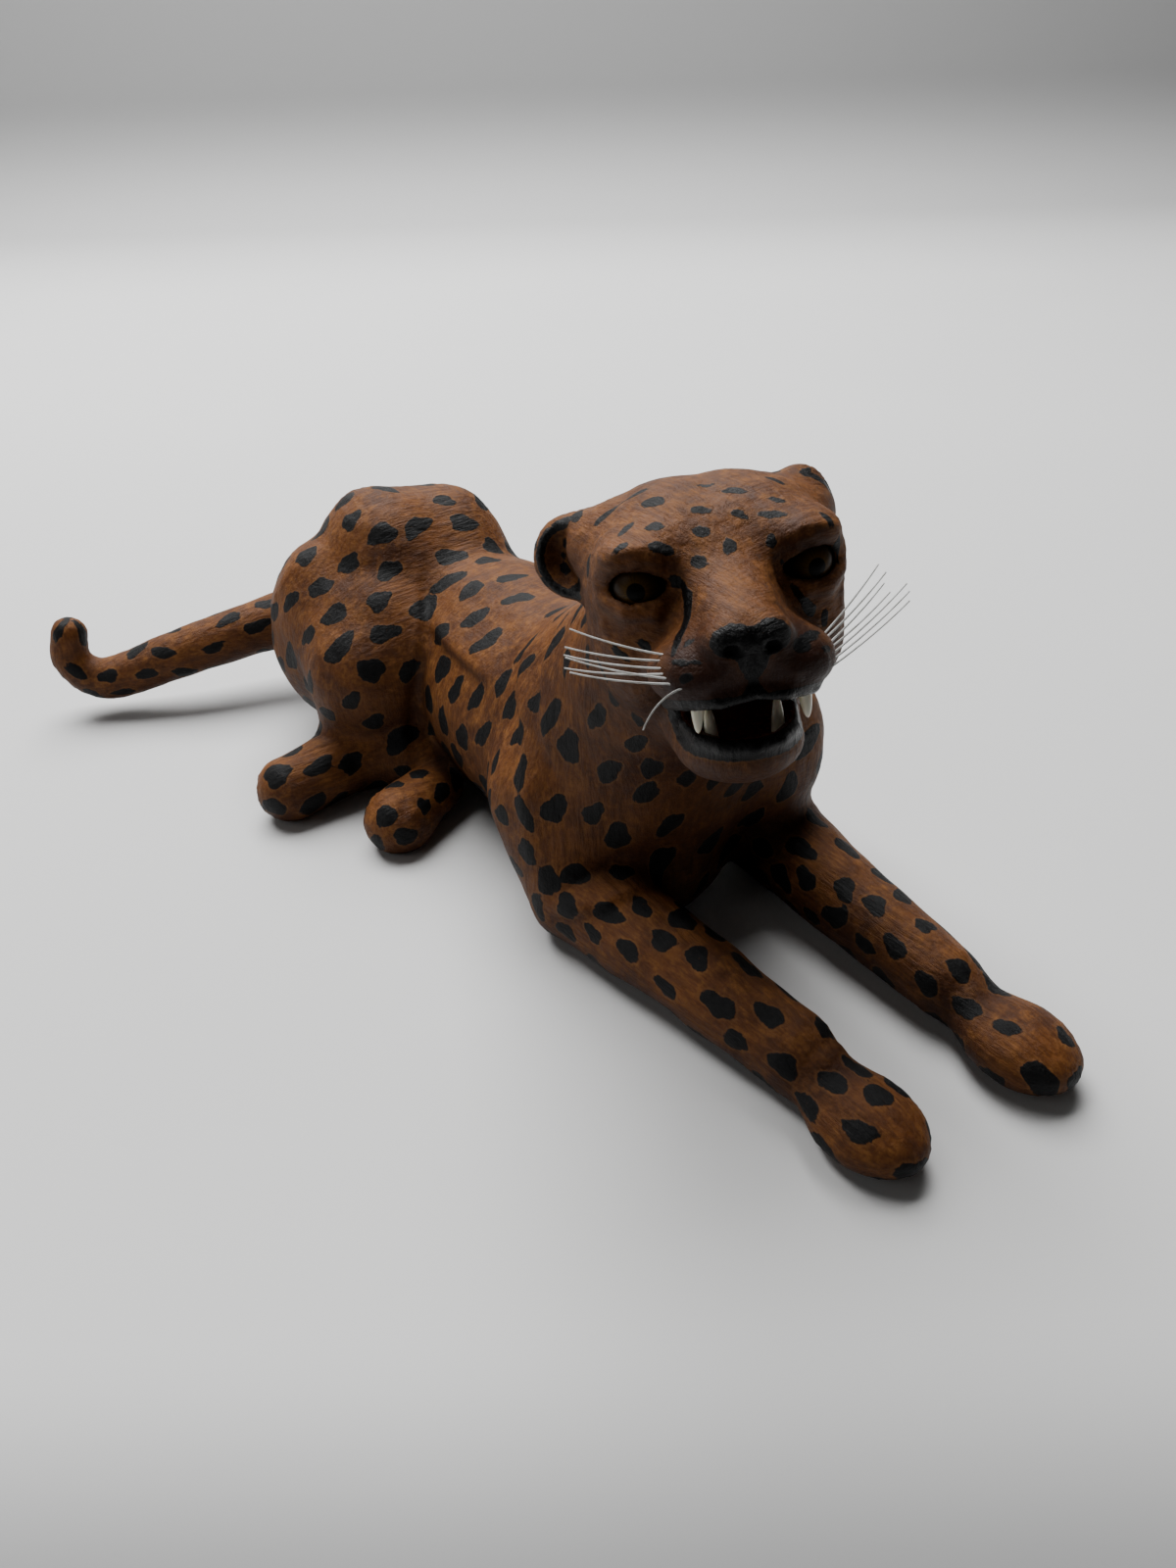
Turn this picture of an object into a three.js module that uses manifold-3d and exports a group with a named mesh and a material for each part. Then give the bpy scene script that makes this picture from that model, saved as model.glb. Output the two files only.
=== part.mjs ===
// Lying leopard figure covered in painted leather, with glass eyes, four canine teeth and whiskers.
// Millimetres. +X is the animal's left, -Y its front, +Z up. It lies on the plane z = 0.
import * as THREE from 'three';
import { mergeVertices } from 'three/addons/utils/BufferGeometryUtils.js';
import Module from 'manifold-3d';

const wasm = await Module();
wasm.setup();

// Driving sizes
const FIGURE_LENGTH = 382; // left forepaw to the bend of the tail
const EYE_DIAMETER = 12.6;
const UPPER_TOOTH_LENGTH = 7.2; // past the gum
const LOWER_TOOTH_LENGTH = 8;
const TOOTH_DIAMETER = 3.2;
const TOOTH_ROOT = 4; // inside the gum
const WHISKER_DIAMETER = 0.5;
const WHISKER_LENGTH = 21; // outside the skin
const WHISKER_ROOT = 3; // inside the skin
const FIT_GAP = 0.3; // round everything that is set into the leather form

// The free form is written at this length and follows FIGURE_LENGTH as shares of it.
const FORM_LENGTH = 382;
const SCALE = FIGURE_LENGTH / FORM_LENGTH;

// Mesh of the leather form
const GRID_STEP = 2;
const BODY_TRIANGLES = 6800;
const HEAD_DETAIL = 3; // how much dearer a flaw on the head is than one on the trunk

// Shapes as signed distances: each is a function of x, y, z, negative inside.

function turn(axis, degrees) {
  const matrix = new THREE.Matrix4();
  const angle = THREE.MathUtils.degToRad(degrees);
  if (axis === 'x') matrix.makeRotationX(angle);
  if (axis === 'z') matrix.makeRotationZ(angle);
  return matrix;
}

function ellipsoid([cx, cy, cz], [a, b, c], rotation = null) {
  const m = rotation ? rotation.elements : null;
  return (x, y, z) => {
    let dx = x - cx;
    let dy = y - cy;
    let dz = z - cz;
    if (m) {
      const [px, py, pz] = [dx, dy, dz];
      dx = m[0] * px + m[1] * py + m[2] * pz;
      dy = m[4] * px + m[5] * py + m[6] * pz;
      dz = m[8] * px + m[9] * py + m[10] * pz;
    }
    const [ex, ey, ez] = [dx / a, dy / b, dz / c];
    const near = Math.sqrt(ex * ex + ey * ey + ez * ez);
    const slope = Math.sqrt((ex / a) ** 2 + (ey / b) ** 2 + (ez / c) ** 2);
    return near * (near - 1) / Math.max(slope, 1e-6);
  };
}

function roundedBox([cx, cy, cz], [a, b, c], radius) {
  return (x, y, z) => {
    const dx = Math.abs(x - cx) - a + radius;
    const dy = Math.abs(y - cy) - b + radius;
    const dz = Math.abs(z - cz) - c + radius;
    const outside = Math.sqrt(Math.max(dx, 0) ** 2 + Math.max(dy, 0) ** 2 + Math.max(dz, 0) ** 2);
    return outside + Math.min(Math.max(dx, dy, dz), 0) - radius;
  };
}

// A limb from joint to joint, with its radius at each joint.
function limb(points, radii) {
  const parts = points.slice(1).map((end, i) => {
    const start = points[i];
    const [bx, by, bz] = [end[0] - start[0], end[1] - start[1], end[2] - start[2]];
    return { start, bx, by, bz, span: bx * bx + by * by + bz * bz, r0: radii[i], r1: radii[i + 1] };
  });
  return (x, y, z) => {
    let best = Infinity;
    for (const { start, bx, by, bz, span, r0, r1 } of parts) {
      const [dx, dy, dz] = [x - start[0], y - start[1], z - start[2]];
      const t = Math.min(Math.max((dx * bx + dy * by + dz * bz) / span, 0), 1);
      const [ex, ey, ez] = [dx - t * bx, dy - t * by, dz - t * bz];
      best = Math.min(best, Math.sqrt(ex * ex + ey * ey + ez * ez) - r0 - t * (r1 - r0));
    }
    return best;
  };
}

function softMin(a, b, width) {
  const h = Math.max(width - Math.abs(a - b), 0) / width;
  return Math.min(a, b) - h * h * width / 4;
}

// Adds shapes to a first one, each blended over its own width.
function blend(first, ...others) {
  return (x, y, z) => {
    let distance = first(x, y, z);
    for (const [width, shape] of others) distance = softMin(distance, shape(x, y, z), width);
    return distance;
  };
}

// Takes a shape away, with its edge rounded over the given width.
function hollow(shape, width, tool) {
  return (x, y, z) => -softMin(-shape(x, y, z), tool(x, y, z), width);
}

// Both sides of the head: the shape is written for the left one.
function mirrored(shape) {
  return (u, v, w) => shape(u, Math.abs(v), w);
}

// The head has its own axes: u to the nose, v to the animal's left, w to the crown.
const HEAD_CENTRE = [-19.2, -96.3, 124];
const HEAD_YAW = 31;
const HEAD_PITCH = 18;
const HEAD_ROLL = 4.8;

function headAxes() {
  const [yaw, pitch, roll] = [HEAD_YAW, HEAD_PITCH, HEAD_ROLL].map(THREE.MathUtils.degToRad);
  const u = new THREE.Vector3(
    -Math.sin(yaw) * Math.cos(pitch), -Math.cos(yaw) * Math.cos(pitch), Math.sin(pitch));
  const v = new THREE.Vector3(Math.cos(yaw), -Math.sin(yaw), 0);
  const w = new THREE.Vector3().crossVectors(v, u).negate();
  v.applyAxisAngle(u, roll);
  w.applyAxisAngle(u, roll);
  return { u, v, w };
}

const AXES = headAxes();

function headPoint(u, v, w) {
  return new THREE.Vector3(...HEAD_CENTRE)
    .addScaledVector(AXES.u, u).addScaledVector(AXES.v, v).addScaledVector(AXES.w, w)
    .multiplyScalar(SCALE);
}

function onHead(shape) {
  const { u, v, w } = AXES;
  const [cx, cy, cz] = HEAD_CENTRE;
  return (x, y, z) => {
    const [dx, dy, dz] = [x - cx, y - cy, z - cz];
    return shape(
      dx * u.x + dy * u.y + dz * u.z, dx * v.x + dy * v.y + dz * v.z, dx * w.x + dy * w.y + dz * w.z);
  };
}

// Trunk and neck

const trunk = blend(
  ellipsoid([0, -18, 40], [41, 56, 43]), // ribs
  [18, ellipsoid([0, 34, 40], [37, 52, 41])], // loins
  [16, ellipsoid([-12, 90, 44], [45, 46, 42])], // hindquarters
  [16, ellipsoid([-21, 87, 77], [19, 25, 22])], // right hip
  [14, ellipsoid([6, 86, 75], [17, 23, 19])], // left hip
  [12, ellipsoid([-36, 98, 40], [27, 32, 32])], // right buttock
  [14, ellipsoid([0, -48, 50], [40, 32, 40])], // chest
  [10, ellipsoid([29, -64, 48], [20.5, 21, 30])], // left shoulder
  [10, ellipsoid([-7, -60, 16], [24, 17, 18])], // breast between the forelegs
);

const neck = limb([[-2, -48, 66], [-8, -68, 88], [-14, -88, 112]], [36, 31, 26]);

// Legs and tail

function foreleg(shoulder, elbow, middle, wrist, paw) {
  return blend(
    limb([shoulder, elbow, middle, wrist], [21, 16, 13, 10.8]),
    [12, ellipsoid(paw, [13.3, 17.5, 9])],
  );
}

const rightForeleg = foreleg(
  [-31, -40, 40], [-34, -56, 14], [-29, -100, 13], [-25, -141, 10.5], [-25, -167, 8]);
const leftForeleg = foreleg(
  [31, -44, 42], [34, -64, 14.5], [30, -104, 12.5], [27.5, -146, 10.5], [26.5, -173, 8]);

// The hindquarters are rolled onto the left hip, so both hind feet lie on the right.
const rightHindLeg = blend(
  limb([[-34, 92, 54], [-45, 62, 44]], [30, 19]),
  [8, ellipsoid([-32, 70, 46], [24, 31, 33])], // thigh
  [10, limb([[-45, 62, 44], [-50, 66, 14]], [18, 13])],
  [8, limb([[-50, 61, 13], [-82, 57.5, 10.5]], [13, 12])],
  [6, limb([[-47, 60, 13], [-34, 41, 16]], [13, 12])], // front of the folded leg
);
const leftHindFoot = limb([[-38, 29, 9], [-59, 18, 9]], [9.5, 12]);

const TAIL_STEPS = 22;

function tailShape() {
  const route = new THREE.CatmullRomCurve3([
    [0, 118, 37], [-18, 140, 35], [-46, 152, 30], [-80, 161, 24], [-106, 172, 16], [-117, 178, 16],
    [-123, 183, 24], [-121, 183, 35],
  ].map((point) => new THREE.Vector3(...point)), false, 'catmullrom', 0.5);
  const points = route.getPoints(TAIL_STEPS);
  const radii = points.map((_, i) => {
    const along = i / TAIL_STEPS;
    return 14 - 11 * along + 3.9 * along * along;
  });
  return limb(points.map((point) => point.toArray()), radii);
}

// Head

const skull = blend(
  ellipsoid([-10, 0, 2], [30, 28, 24]),
  [12, ellipsoid([-5, 11, 10.5], [19, 15, 12.4])], // crown
  [6, ellipsoid([-14, 21, 13.5], [12, 12, 9])], // root of the ear
  [6, ellipsoid([12, 18, 12.2], [9, 9.5, 4.8])], // brow
  [6, ellipsoid([3, 19.6, 3], [15, 9, 12])], // temple
  [8, ellipsoid([-2, 18, -11], [18, 11.5, 16])], // cheek
);

const muzzle = blend(
  limb([[8, 0, 4], [33, 0, -7]], [13, 9.5]), // bridge
  [7, ellipsoid([18, 0, -12], [17, 14, 9])],
  [5, ellipsoid([26, 9, -13], [13, 11.5, 8])], // whisker pad
  [3, ellipsoid([37.8, 4.2, -5.4], [4.3, 4.7, 3.6])], // nose
  [2, ellipsoid([37.6, 0, -6.2], [4.6, 6, 4])], // middle of the nose
);

const noseGroove = limb([[42.5, 0, -9], [39.5, 0, -19]], [1.2, 1.2]);

const jaw = blend(
  ellipsoid([12, 0, -33], [21, 15.2, 9.5]),
  [8, ellipsoid([-6, 0, -24], [22, 19, 15])],
);

// The lips part from the corners of the mouth forward, and the cavity runs back between them.
const lips = ellipsoid([31, 0, -24.2], [20, 34, 5.6]);
const cavity = roundedBox([24, 0, -24.4], [18, 11, 5.4], 4.5);
const mouth = blend(lips, [1, cavity]);
const upperLip = limb(
  [[38.6, 0, -17.4], [37.2, 7, -18.3], [32, 13.6, -18.8], [22, 16.4, -20.4]], [1.2, 1.7, 1.8, 1.4]);
const lowerLip = limb(
  [[33.4, 0, -30.4], [30.4, 6.4, -30], [25, 10.4, -29], [16, 12.6, -26.6]], [1.9, 1.9, 1.8, 1.4]);

const EYE_PLACE = [12.6, 18.8, 5.3];
const eyeRecess = ellipsoid([19, 19, 4.5], [8, 8.5, 5.5]);
const lowerLid = limb(
  [[16.5, 12, 2.5], [18.4, 16.5, 0], [16.5, 22.5, 0.4], [11.5, 26.2, 3]], [2, 2.2, 2.2, 2.4]);
const eyeSlit = ellipsoid([20, 18.8, 4.8], [7.5, 6.5, 2.9]);
const upperLid = limb(
  [[17.5, 12, 5.2], [18.2, 16, 10], [16, 22, 10.6], [10.5, 26, 7.4]], [2, 2.4, 2.4, 2.4]);

function ear(centre, radii, tilt, mouthShift, mouthRadii) {
  const cupCentre = centre.map((value, i) => value + mouthShift[i]);
  return hollow(ellipsoid(centre, radii, tilt), 2, ellipsoid(cupCentre, mouthRadii, tilt));
}

const rightEarTilt = turn('x', -30).multiply(turn('z', -30));
const rightEar = ear([-18, -31, 11], [6.5, 11, 10.5], rightEarTilt, [6.5, 0, -0.5], [7, 7.4, 7]);
const leftEar = ear([-18, 26.5, 15], [6.5, 9.5, 10.5], turn('z', 35), [6.5, 1.2, -0.5], [7, 6.2, 7]);

const halfFace = blend(skull, [7, muzzle]);
const parted = hollow(blend(hollow(halfFace, 2, noseGroove), [4, jaw]), 2, mouth);
const openMouth = blend(parted, [2, upperLip], [1.5, lowerLip]);
const lids = blend(hollow(openMouth, 3, eyeRecess), [2.5, lowerLid], [2.5, upperLid]);
const face = hollow(lids, 1, eyeSlit);
const head = onHead(blend(mirrored(face), [5, rightEar], [5, leftEar]));

const figure = blend(
  trunk,
  [14, neck],
  [9, rightForeleg],
  [9, leftForeleg],
  [4, rightHindLeg],
  [4, leftHindFoot],
  [6, tailShape()],
  [8, head],
);

const BASE_EDGE = 1.5; // rounding of the edge where the form lies on the floor
const restingFigure = (x, y, z) => -softMin(-figure(x, y, z), z, BASE_EDGE);

// Meshing: samples the shape on a grid, puts one point in each cell that the skin crosses and
// moves the points onto the skin.

const BOUNDS = { low: [-140.5, -200.3, -3], high: [62, 208, 160] };
const BLOCK = 8; // cells to a side of the blocks that are skipped away from the skin

function sampleGrid(shape) {
  const counts = BOUNDS.low.map((low, i) => Math.ceil((BOUNDS.high[i] - low) / GRID_STEP) + 1);
  const [nx, ny, nz] = counts;
  const at = (i, axis) => BOUNDS.low[axis] + i * GRID_STEP;
  const index = (i, j, k) => (i * ny + j) * nz + k;
  const values = new Float32Array(nx * ny * nz);
  const reach = BLOCK * GRID_STEP * Math.sqrt(3) / 2 * 1.6 + 3;
  for (let i0 = 0; i0 < nx; i0 += BLOCK) {
    for (let j0 = 0; j0 < ny; j0 += BLOCK) {
      for (let k0 = 0; k0 < nz; k0 += BLOCK) {
        const half = BLOCK / 2;
        const middle = shape(at(i0 + half, 0), at(j0 + half, 1), at(k0 + half, 2));
        const skipped = Math.abs(middle) > reach;
        for (let i = i0; i < Math.min(i0 + BLOCK, nx); i++) {
          for (let j = j0; j < Math.min(j0 + BLOCK, ny); j++) {
            for (let k = k0; k < Math.min(k0 + BLOCK, nz); k++) {
              values[index(i, j, k)] = skipped ? middle : shape(at(i, 0), at(j, 1), at(k, 2));
            }
          }
        }
      }
    }
  }
  return { counts, values, index, at };
}

// Where the corners of a grid square lie inside and outside in turn, the skin would cross itself
// there. The corner that is nearest to the skin changes side.
function clearCrossings({ values, index }) {
  const steps = [index(1, 0, 0), index(0, 1, 0), index(0, 0, 1)];
  for (let here = 0; here < values.length - steps[0] - steps[1]; here++) {
    for (let axis = 0; axis < 3; axis++) {
      const [p, q] = [steps[(axis + 1) % 3], steps[(axis + 2) % 3]];
      const square = [here, here + p, here + p + q, here + q];
      const [a, b, c, d] = square.map((n) => values[n] < 0);
      if (a !== c || b !== d || a === b) continue;
      const nearest = square.reduce((m, n) => (Math.abs(values[n]) < Math.abs(values[m]) ? n : m));
      values[nearest] *= -1;
    }
  }
}

function surfaceNet(shape) {
  const grid = sampleGrid(shape);
  clearCrossings(grid);
  const { counts: [nx, ny, nz], values, index, at } = grid;
  const cellPoint = new Map();
  const points = [];
  const corners = [0, 1, 2, 3, 4, 5, 6, 7].map((c) => [c & 1, (c >> 1) & 1, (c >> 2) & 1]);
  const edges = [];
  for (let a = 0; a < 8; a++) {
    for (const bit of [1, 2, 4]) if (!(a & bit)) edges.push([a, a | bit]);
  }
  for (let i = 0; i < nx - 1; i++) {
    for (let j = 0; j < ny - 1; j++) {
      for (let k = 0; k < nz - 1; k++) {
        const value = corners.map(([a, b, c]) => values[index(i + a, j + b, k + c)]);
        const inside = value.filter((v) => v < 0).length;
        if (inside === 0 || inside === 8) continue;
        const sum = [0, 0, 0];
        let crossings = 0;
        for (const [a, b] of edges) {
          if ((value[a] < 0) === (value[b] < 0)) continue;
          const t = value[a] / (value[a] - value[b]);
          for (let axis = 0; axis < 3; axis++) {
            sum[axis] += corners[a][axis] + t * (corners[b][axis] - corners[a][axis]);
          }
          crossings++;
        }
        cellPoint.set(index(i, j, k), points.length / 3);
        points.push(...[i, j, k].map((n, axis) => at(n, axis) + GRID_STEP * sum[axis] / crossings));
      }
    }
  }
  const triangles = [];
  const steps = [index(1, 0, 0), index(0, 1, 0), index(0, 0, 1)];
  for (let i = 1; i < nx - 1; i++) {
    for (let j = 1; j < ny - 1; j++) {
      for (let k = 1; k < nz - 1; k++) {
        const here = index(i, j, k);
        for (let axis = 0; axis < 3; axis++) {
          const insideHere = values[here] < 0;
          if (insideHere === (values[here + steps[axis]] < 0)) continue;
          const [p, q] = [steps[(axis + 1) % 3], steps[(axis + 2) % 3]];
          const quad = [here, here - p, here - p - q, here - q].map((cell) => cellPoint.get(cell));
          if (!insideHere) quad.reverse();
          triangles.push(quad[0], quad[1], quad[2], quad[0], quad[2], quad[3]);
        }
      }
    }
  }
  return { points: Float64Array.from(points), triangles };
}

const PROBE = 0.1; // half the span over which the slope of a shape is measured
const LARGEST_MOVE = 0.3; // small, so that points by a crease stay apart

function slopeOf(shape, x, y, z) {
  return [
    shape(x + PROBE, y, z) - shape(x - PROBE, y, z),
    shape(x, y + PROBE, z) - shape(x, y - PROBE, z),
    shape(x, y, z + PROBE) - shape(x, y, z - PROBE),
  ].map((difference) => difference / (2 * PROBE));
}

function moveOntoSkin(shape, points) {
  for (let n = 0; n < points.length; n += 3) {
    const [x, y, z] = points.subarray(n, n + 3);
    const g = slopeOf(shape, x, y, z);
    const step = shape(x, y, z) / Math.max(g[0] * g[0] + g[1] * g[1] + g[2] * g[2], 0.2);
    const move = Math.min(Math.max(step, -LARGEST_MOVE), LARGEST_MOVE);
    for (let axis = 0; axis < 3; axis++) points[n + axis] -= move * g[axis];
    if (points[n + 2] < 0.15) points[n + 2] = 0;
  }
}

// Simplifying: joins the ends of the edge that costs least, until few enough triangles are left.
// The cost is the squared distance from the planes of the triangles round both ends.

class EdgeQueue {
  heap = [];

  push(entry) {
    const { heap } = this;
    let i = heap.push(entry) - 1;
    while (i > 0) {
      const parent = (i - 1) >> 1;
      if (heap[parent].cost <= entry.cost) break;
      heap[i] = heap[parent];
      i = parent;
    }
    heap[i] = entry;
  }

  pop() {
    const { heap } = this;
    const top = heap[0];
    const last = heap.pop();
    if (heap.length === 0) return top;
    let i = 0;
    for (;;) {
      let child = 2 * i + 1;
      if (child >= heap.length) break;
      if (child + 1 < heap.length && heap[child + 1].cost < heap[child].cost) child++;
      if (heap[child].cost >= last.cost) break;
      heap[i] = heap[child];
      i = child;
    }
    heap[i] = last;
    return top;
  }
}

const SLIVER = 1e-3; // doubled area below which a triangle has no sure direction
const QUADRIC = 10; // numbers in one symmetric 4 by 4 matrix

function simplify({ points, triangles }, target, detail) {
  const count = points.length / 3;
  const faces = [];
  for (let n = 0; n < triangles.length; n += 3) faces.push(triangles.slice(n, n + 3));
  const fans = Array.from({ length: count }, () => new Set());
  faces.forEach((face, n) => face.forEach((corner) => fans[corner].add(n)));
  const quadrics = new Float64Array(count * QUADRIC);
  const version = new Uint32Array(count);
  const [ab, ac] = [new THREE.Vector3(), new THREE.Vector3()];
  const corner = (n) => new THREE.Vector3(points[3 * n], points[3 * n + 1], points[3 * n + 2]);

  function areaVector(a, b, c) {
    ab.subVectors(b, a);
    ac.subVectors(c, a);
    return new THREE.Vector3().crossVectors(ab, ac);
  }

  for (const face of faces) {
    const [a, b, c] = face.map(corner);
    const normal = areaVector(a, b, c);
    const weight = normal.length() / 2 * detail(a);
    normal.normalize();
    const plane = [normal.x, normal.y, normal.z, -normal.dot(a)];
    let slot = 0;
    for (let i = 0; i < 4; i++) {
      for (let j = i; j < 4; j++) {
        for (const n of face) quadrics[n * QUADRIC + slot] += weight * plane[i] * plane[j];
        slot++;
      }
    }
  }

  function flaw(q, p) {
    return q[0] * p.x * p.x + 2 * q[1] * p.x * p.y + 2 * q[2] * p.x * p.z + 2 * q[3] * p.x
      + q[4] * p.y * p.y + 2 * q[5] * p.y * p.z + 2 * q[6] * p.y
      + q[7] * p.z * p.z + 2 * q[8] * p.z + q[9];
  }

  function bestPoint(q, a, b) {
    const middle = a.clone().lerp(b, 0.5);
    const matrix = new THREE.Matrix3().set(q[0], q[1], q[2], q[1], q[4], q[5], q[2], q[5], q[7]);
    const size = q[0] + q[4] + q[7];
    let best = middle;
    if (matrix.determinant() > 1e-4 * size ** 3) {
      const solved = new THREE.Vector3(-q[3], -q[6], -q[8]).applyMatrix3(matrix.invert());
      if (solved.distanceTo(middle) < 1.5 * a.distanceTo(b)) best = solved;
    }
    for (const end of [a, b]) if (flaw(q, end) < flaw(q, best)) best = end.clone();
    best.z = a.z === 0 && b.z === 0 ? 0 : Math.max(best.z, 0);
    return best;
  }

  const queue = new EdgeQueue();

  function offer(a, b) {
    const q = new Float64Array(QUADRIC);
    for (let i = 0; i < QUADRIC; i++) q[i] = quadrics[a * QUADRIC + i] + quadrics[b * QUADRIC + i];
    const [pa, pb] = [corner(a), corner(b)];
    const place = bestPoint(q, pa, pb);
    const cost = Math.max(flaw(q, place), 0) + 1e-3 * pa.distanceToSquared(pb);
    queue.push({ cost, a, b, place, stamp: version[a] + version[b] });
  }

  const neighbours = (n) => new Set([...fans[n]].flatMap((f) => faces[f]).filter((m) => m !== n));

  // A join is refused where it would pinch the skin or turn a triangle over.
  function allowed(a, b, place) {
    const others = neighbours(b);
    if ([...neighbours(a)].filter((n) => others.has(n)).length !== 2) return false;
    for (const [n, m] of [[a, b], [b, a]]) {
      for (const f of fans[n]) {
        if (faces[f].includes(m)) continue;
        const old = faces[f].map(corner);
        const moved = faces[f].map((c, i) => (c === n ? place : old[i]));
        const [before, after] = [areaVector(...old), areaVector(...moved)];
        const turned = after.dot(before) < 0.3 * after.length() * before.length();
        if (turned && before.length() > SLIVER) return false;
        const longest = Math.max(...moved.map((p, i) => p.distanceToSquared(moved[(i + 1) % 3])));
        if (after.length() < 0.12 * longest) return false;
      }
    }
    return true;
  }

  const gone = new Set();
  for (const face of faces) {
    face.forEach((a, i) => {
      const b = face[(i + 1) % 3];
      if (a < b) offer(a, b);
    });
  }
  let left = faces.length;
  while (left > target && queue.heap.length > 0) {
    const { a, b, place, stamp } = queue.pop();
    if (gone.has(a) || gone.has(b) || stamp !== version[a] + version[b]) continue;
    if (!allowed(a, b, place)) continue;
    points.set(place.toArray(), 3 * a);
    for (let i = 0; i < QUADRIC; i++) quadrics[a * QUADRIC + i] += quadrics[b * QUADRIC + i];
    for (const f of [...fans[b]]) {
      if (faces[f].includes(a)) {
        faces[f].forEach((c) => fans[c].delete(f));
        faces[f] = null;
        left--;
      } else {
        faces[f] = faces[f].map((c) => (c === b ? a : c));
        fans[a].add(f);
      }
    }
    gone.add(b);
    version[a]++;
    for (const n of neighbours(a)) offer(a, n);
  }
  return faces.filter((face) => face !== null).flat();
}

const SIDES = [['right', -1], ['left', 1]];

// Solids and meshes

function asGeometry(positions, indices) {
  const geometry = new THREE.BufferGeometry();
  geometry.setAttribute('position', new THREE.BufferAttribute(Float32Array.from(positions), 3));
  geometry.setIndex([...indices]);
  return geometry;
}

function closed(geometry) {
  geometry.deleteAttribute('normal');
  geometry.deleteAttribute('uv');
  return mergeVertices(geometry, 1e-4);
}

function asSolid(geometry) {
  const merged = closed(geometry);
  return new wasm.Manifold(new wasm.Mesh({
    numProp: 3,
    vertProperties: Float32Array.from(merged.attributes.position.array),
    triVerts: Uint32Array.from(merged.index.array),
  }));
}

function bodyGeometry(cutters) {
  const shape = restingFigure;
  const net = surfaceNet(shape);
  moveOntoSkin(shape, net.points);
  const headMiddle = new THREE.Vector3(...HEAD_CENTRE);
  const detail = (p) => (p.distanceTo(headMiddle) < 52 ? HEAD_DETAIL : 1);
  const kept = simplify(net, BODY_TRIANGLES, detail);
  let solid = asSolid(asGeometry(net.points.map((value) => value * SCALE), kept));
  for (const cutter of cutters) solid = solid.subtract(asSolid(cutter));
  const { vertProperties, triVerts } = solid.getMesh();
  return asGeometry(vertProperties, triVerts);
}

function eyeGeometry(side, extra = 0) {
  const ball = new THREE.IcosahedronGeometry(EYE_DIAMETER / 2 + extra, 2);
  ball.translate(...headPoint(EYE_PLACE[0], side * EYE_PLACE[1], EYE_PLACE[2]).toArray());
  return ball;
}

// Turns a geometry made along +Y so that it starts at one point and runs to another.
function aim(geometry, from, to) {
  const way = new THREE.Vector3().subVectors(to, from).normalize();
  geometry.applyQuaternion(new THREE.Quaternion().setFromUnitVectors(new THREE.Vector3(0, 1, 0), way));
  return geometry.translate(from.x, from.y, from.z);
}

// Where each canine leaves the gum and where it points, on the head's axes, and how far the pair
// stands off the middle, to the animal's left.
const TEETH = [
  {
    name: 'upper_canine', gum: [31, 11.65, -19], way: [0, 0.06, -1], shift: 0.65,
    length: UPPER_TOOTH_LENGTH,
  },
  {
    name: 'lower_canine', gum: [24, 7.5, -29.6], way: [0, 0.04, 1], shift: -0.1,
    length: LOWER_TOOTH_LENGTH,
  },
];

function toothGeometry({ gum, way, shift, length }, side, extra = 0) {
  const radius = TOOTH_DIAMETER / 2;
  const profile = [
    [0, -TOOTH_ROOT - extra], [radius * 0.8 + extra, -TOOTH_ROOT - extra],
    [radius + extra, -TOOTH_ROOT * 0.6], [radius + extra, 0],
    [radius * 0.86 + extra, length * 0.4], [radius * 0.5 + extra, length * 0.8],
    [radius * 0.2 + extra, length * 0.97], [0, length + extra],
  ];
  const tooth = new THREE.LatheGeometry(profile.map(([x, y]) => new THREE.Vector2(x, y)), 9);
  const from = headPoint(gum[0], side * gum[1] + shift, gum[2]);
  const to = headPoint(gum[0] + way[0], side * (gum[1] + way[1]) + shift, gum[2] + way[2]);
  return aim(tooth, from, to);
}

// Whiskers stand in three rows on each side, from the top row down, each hair with its lift in
// degrees; the two sides differ as the hairs are set and bent by hand. Each hair stands further
// forward than the one before it and sweeps back less, so that no two touch.
const WHISKER_SETS = {
  right: {
    first: 30.8, // place of the hindmost root along the head
    rows: [
      { side: 15.8, height: -8.4, reach: 1, lifts: [12, 5] },
      { side: 17.4, height: -10.6, reach: 1, lifts: [5, 1] },
      { side: 17, height: -12.5, reach: 1, lifts: [10, 5, -5] },
    ],
  },
  left: {
    first: 27,
    rows: [
      { side: 19.5, height: -8.2, reach: 0.9, lifts: [31, 27] },
      { side: 20, height: -10.2, reach: 0.8, lifts: [28, 24] },
      { side: 19.6, height: -12.6, reach: 1, lifts: [25, 24, 23] },
    ],
  },
};
const WHISKER_SPACING = 0.9; // from root to root along the head
const WHISKER_DROP = 1; // from root to root down the skin, within a row
const FIRST_SWEEP = 26; // back from straight sideways, in degrees
const SWEEP_STEP = 2;
const LEAST_RISE = 0.42; // off the skin, as the sine of the angle
const CURL = 0.12; // rise of the tip, as a share of the length
const CURLED_WHISKER = 'whisker_right_7'; // broken short, and hangs
const CURLED_REACH = 0.4;
const CURLED_DROP = -0.9;
const WHISKER_SIDES = 5;
const WHISKER_STEPS = 6;

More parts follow.
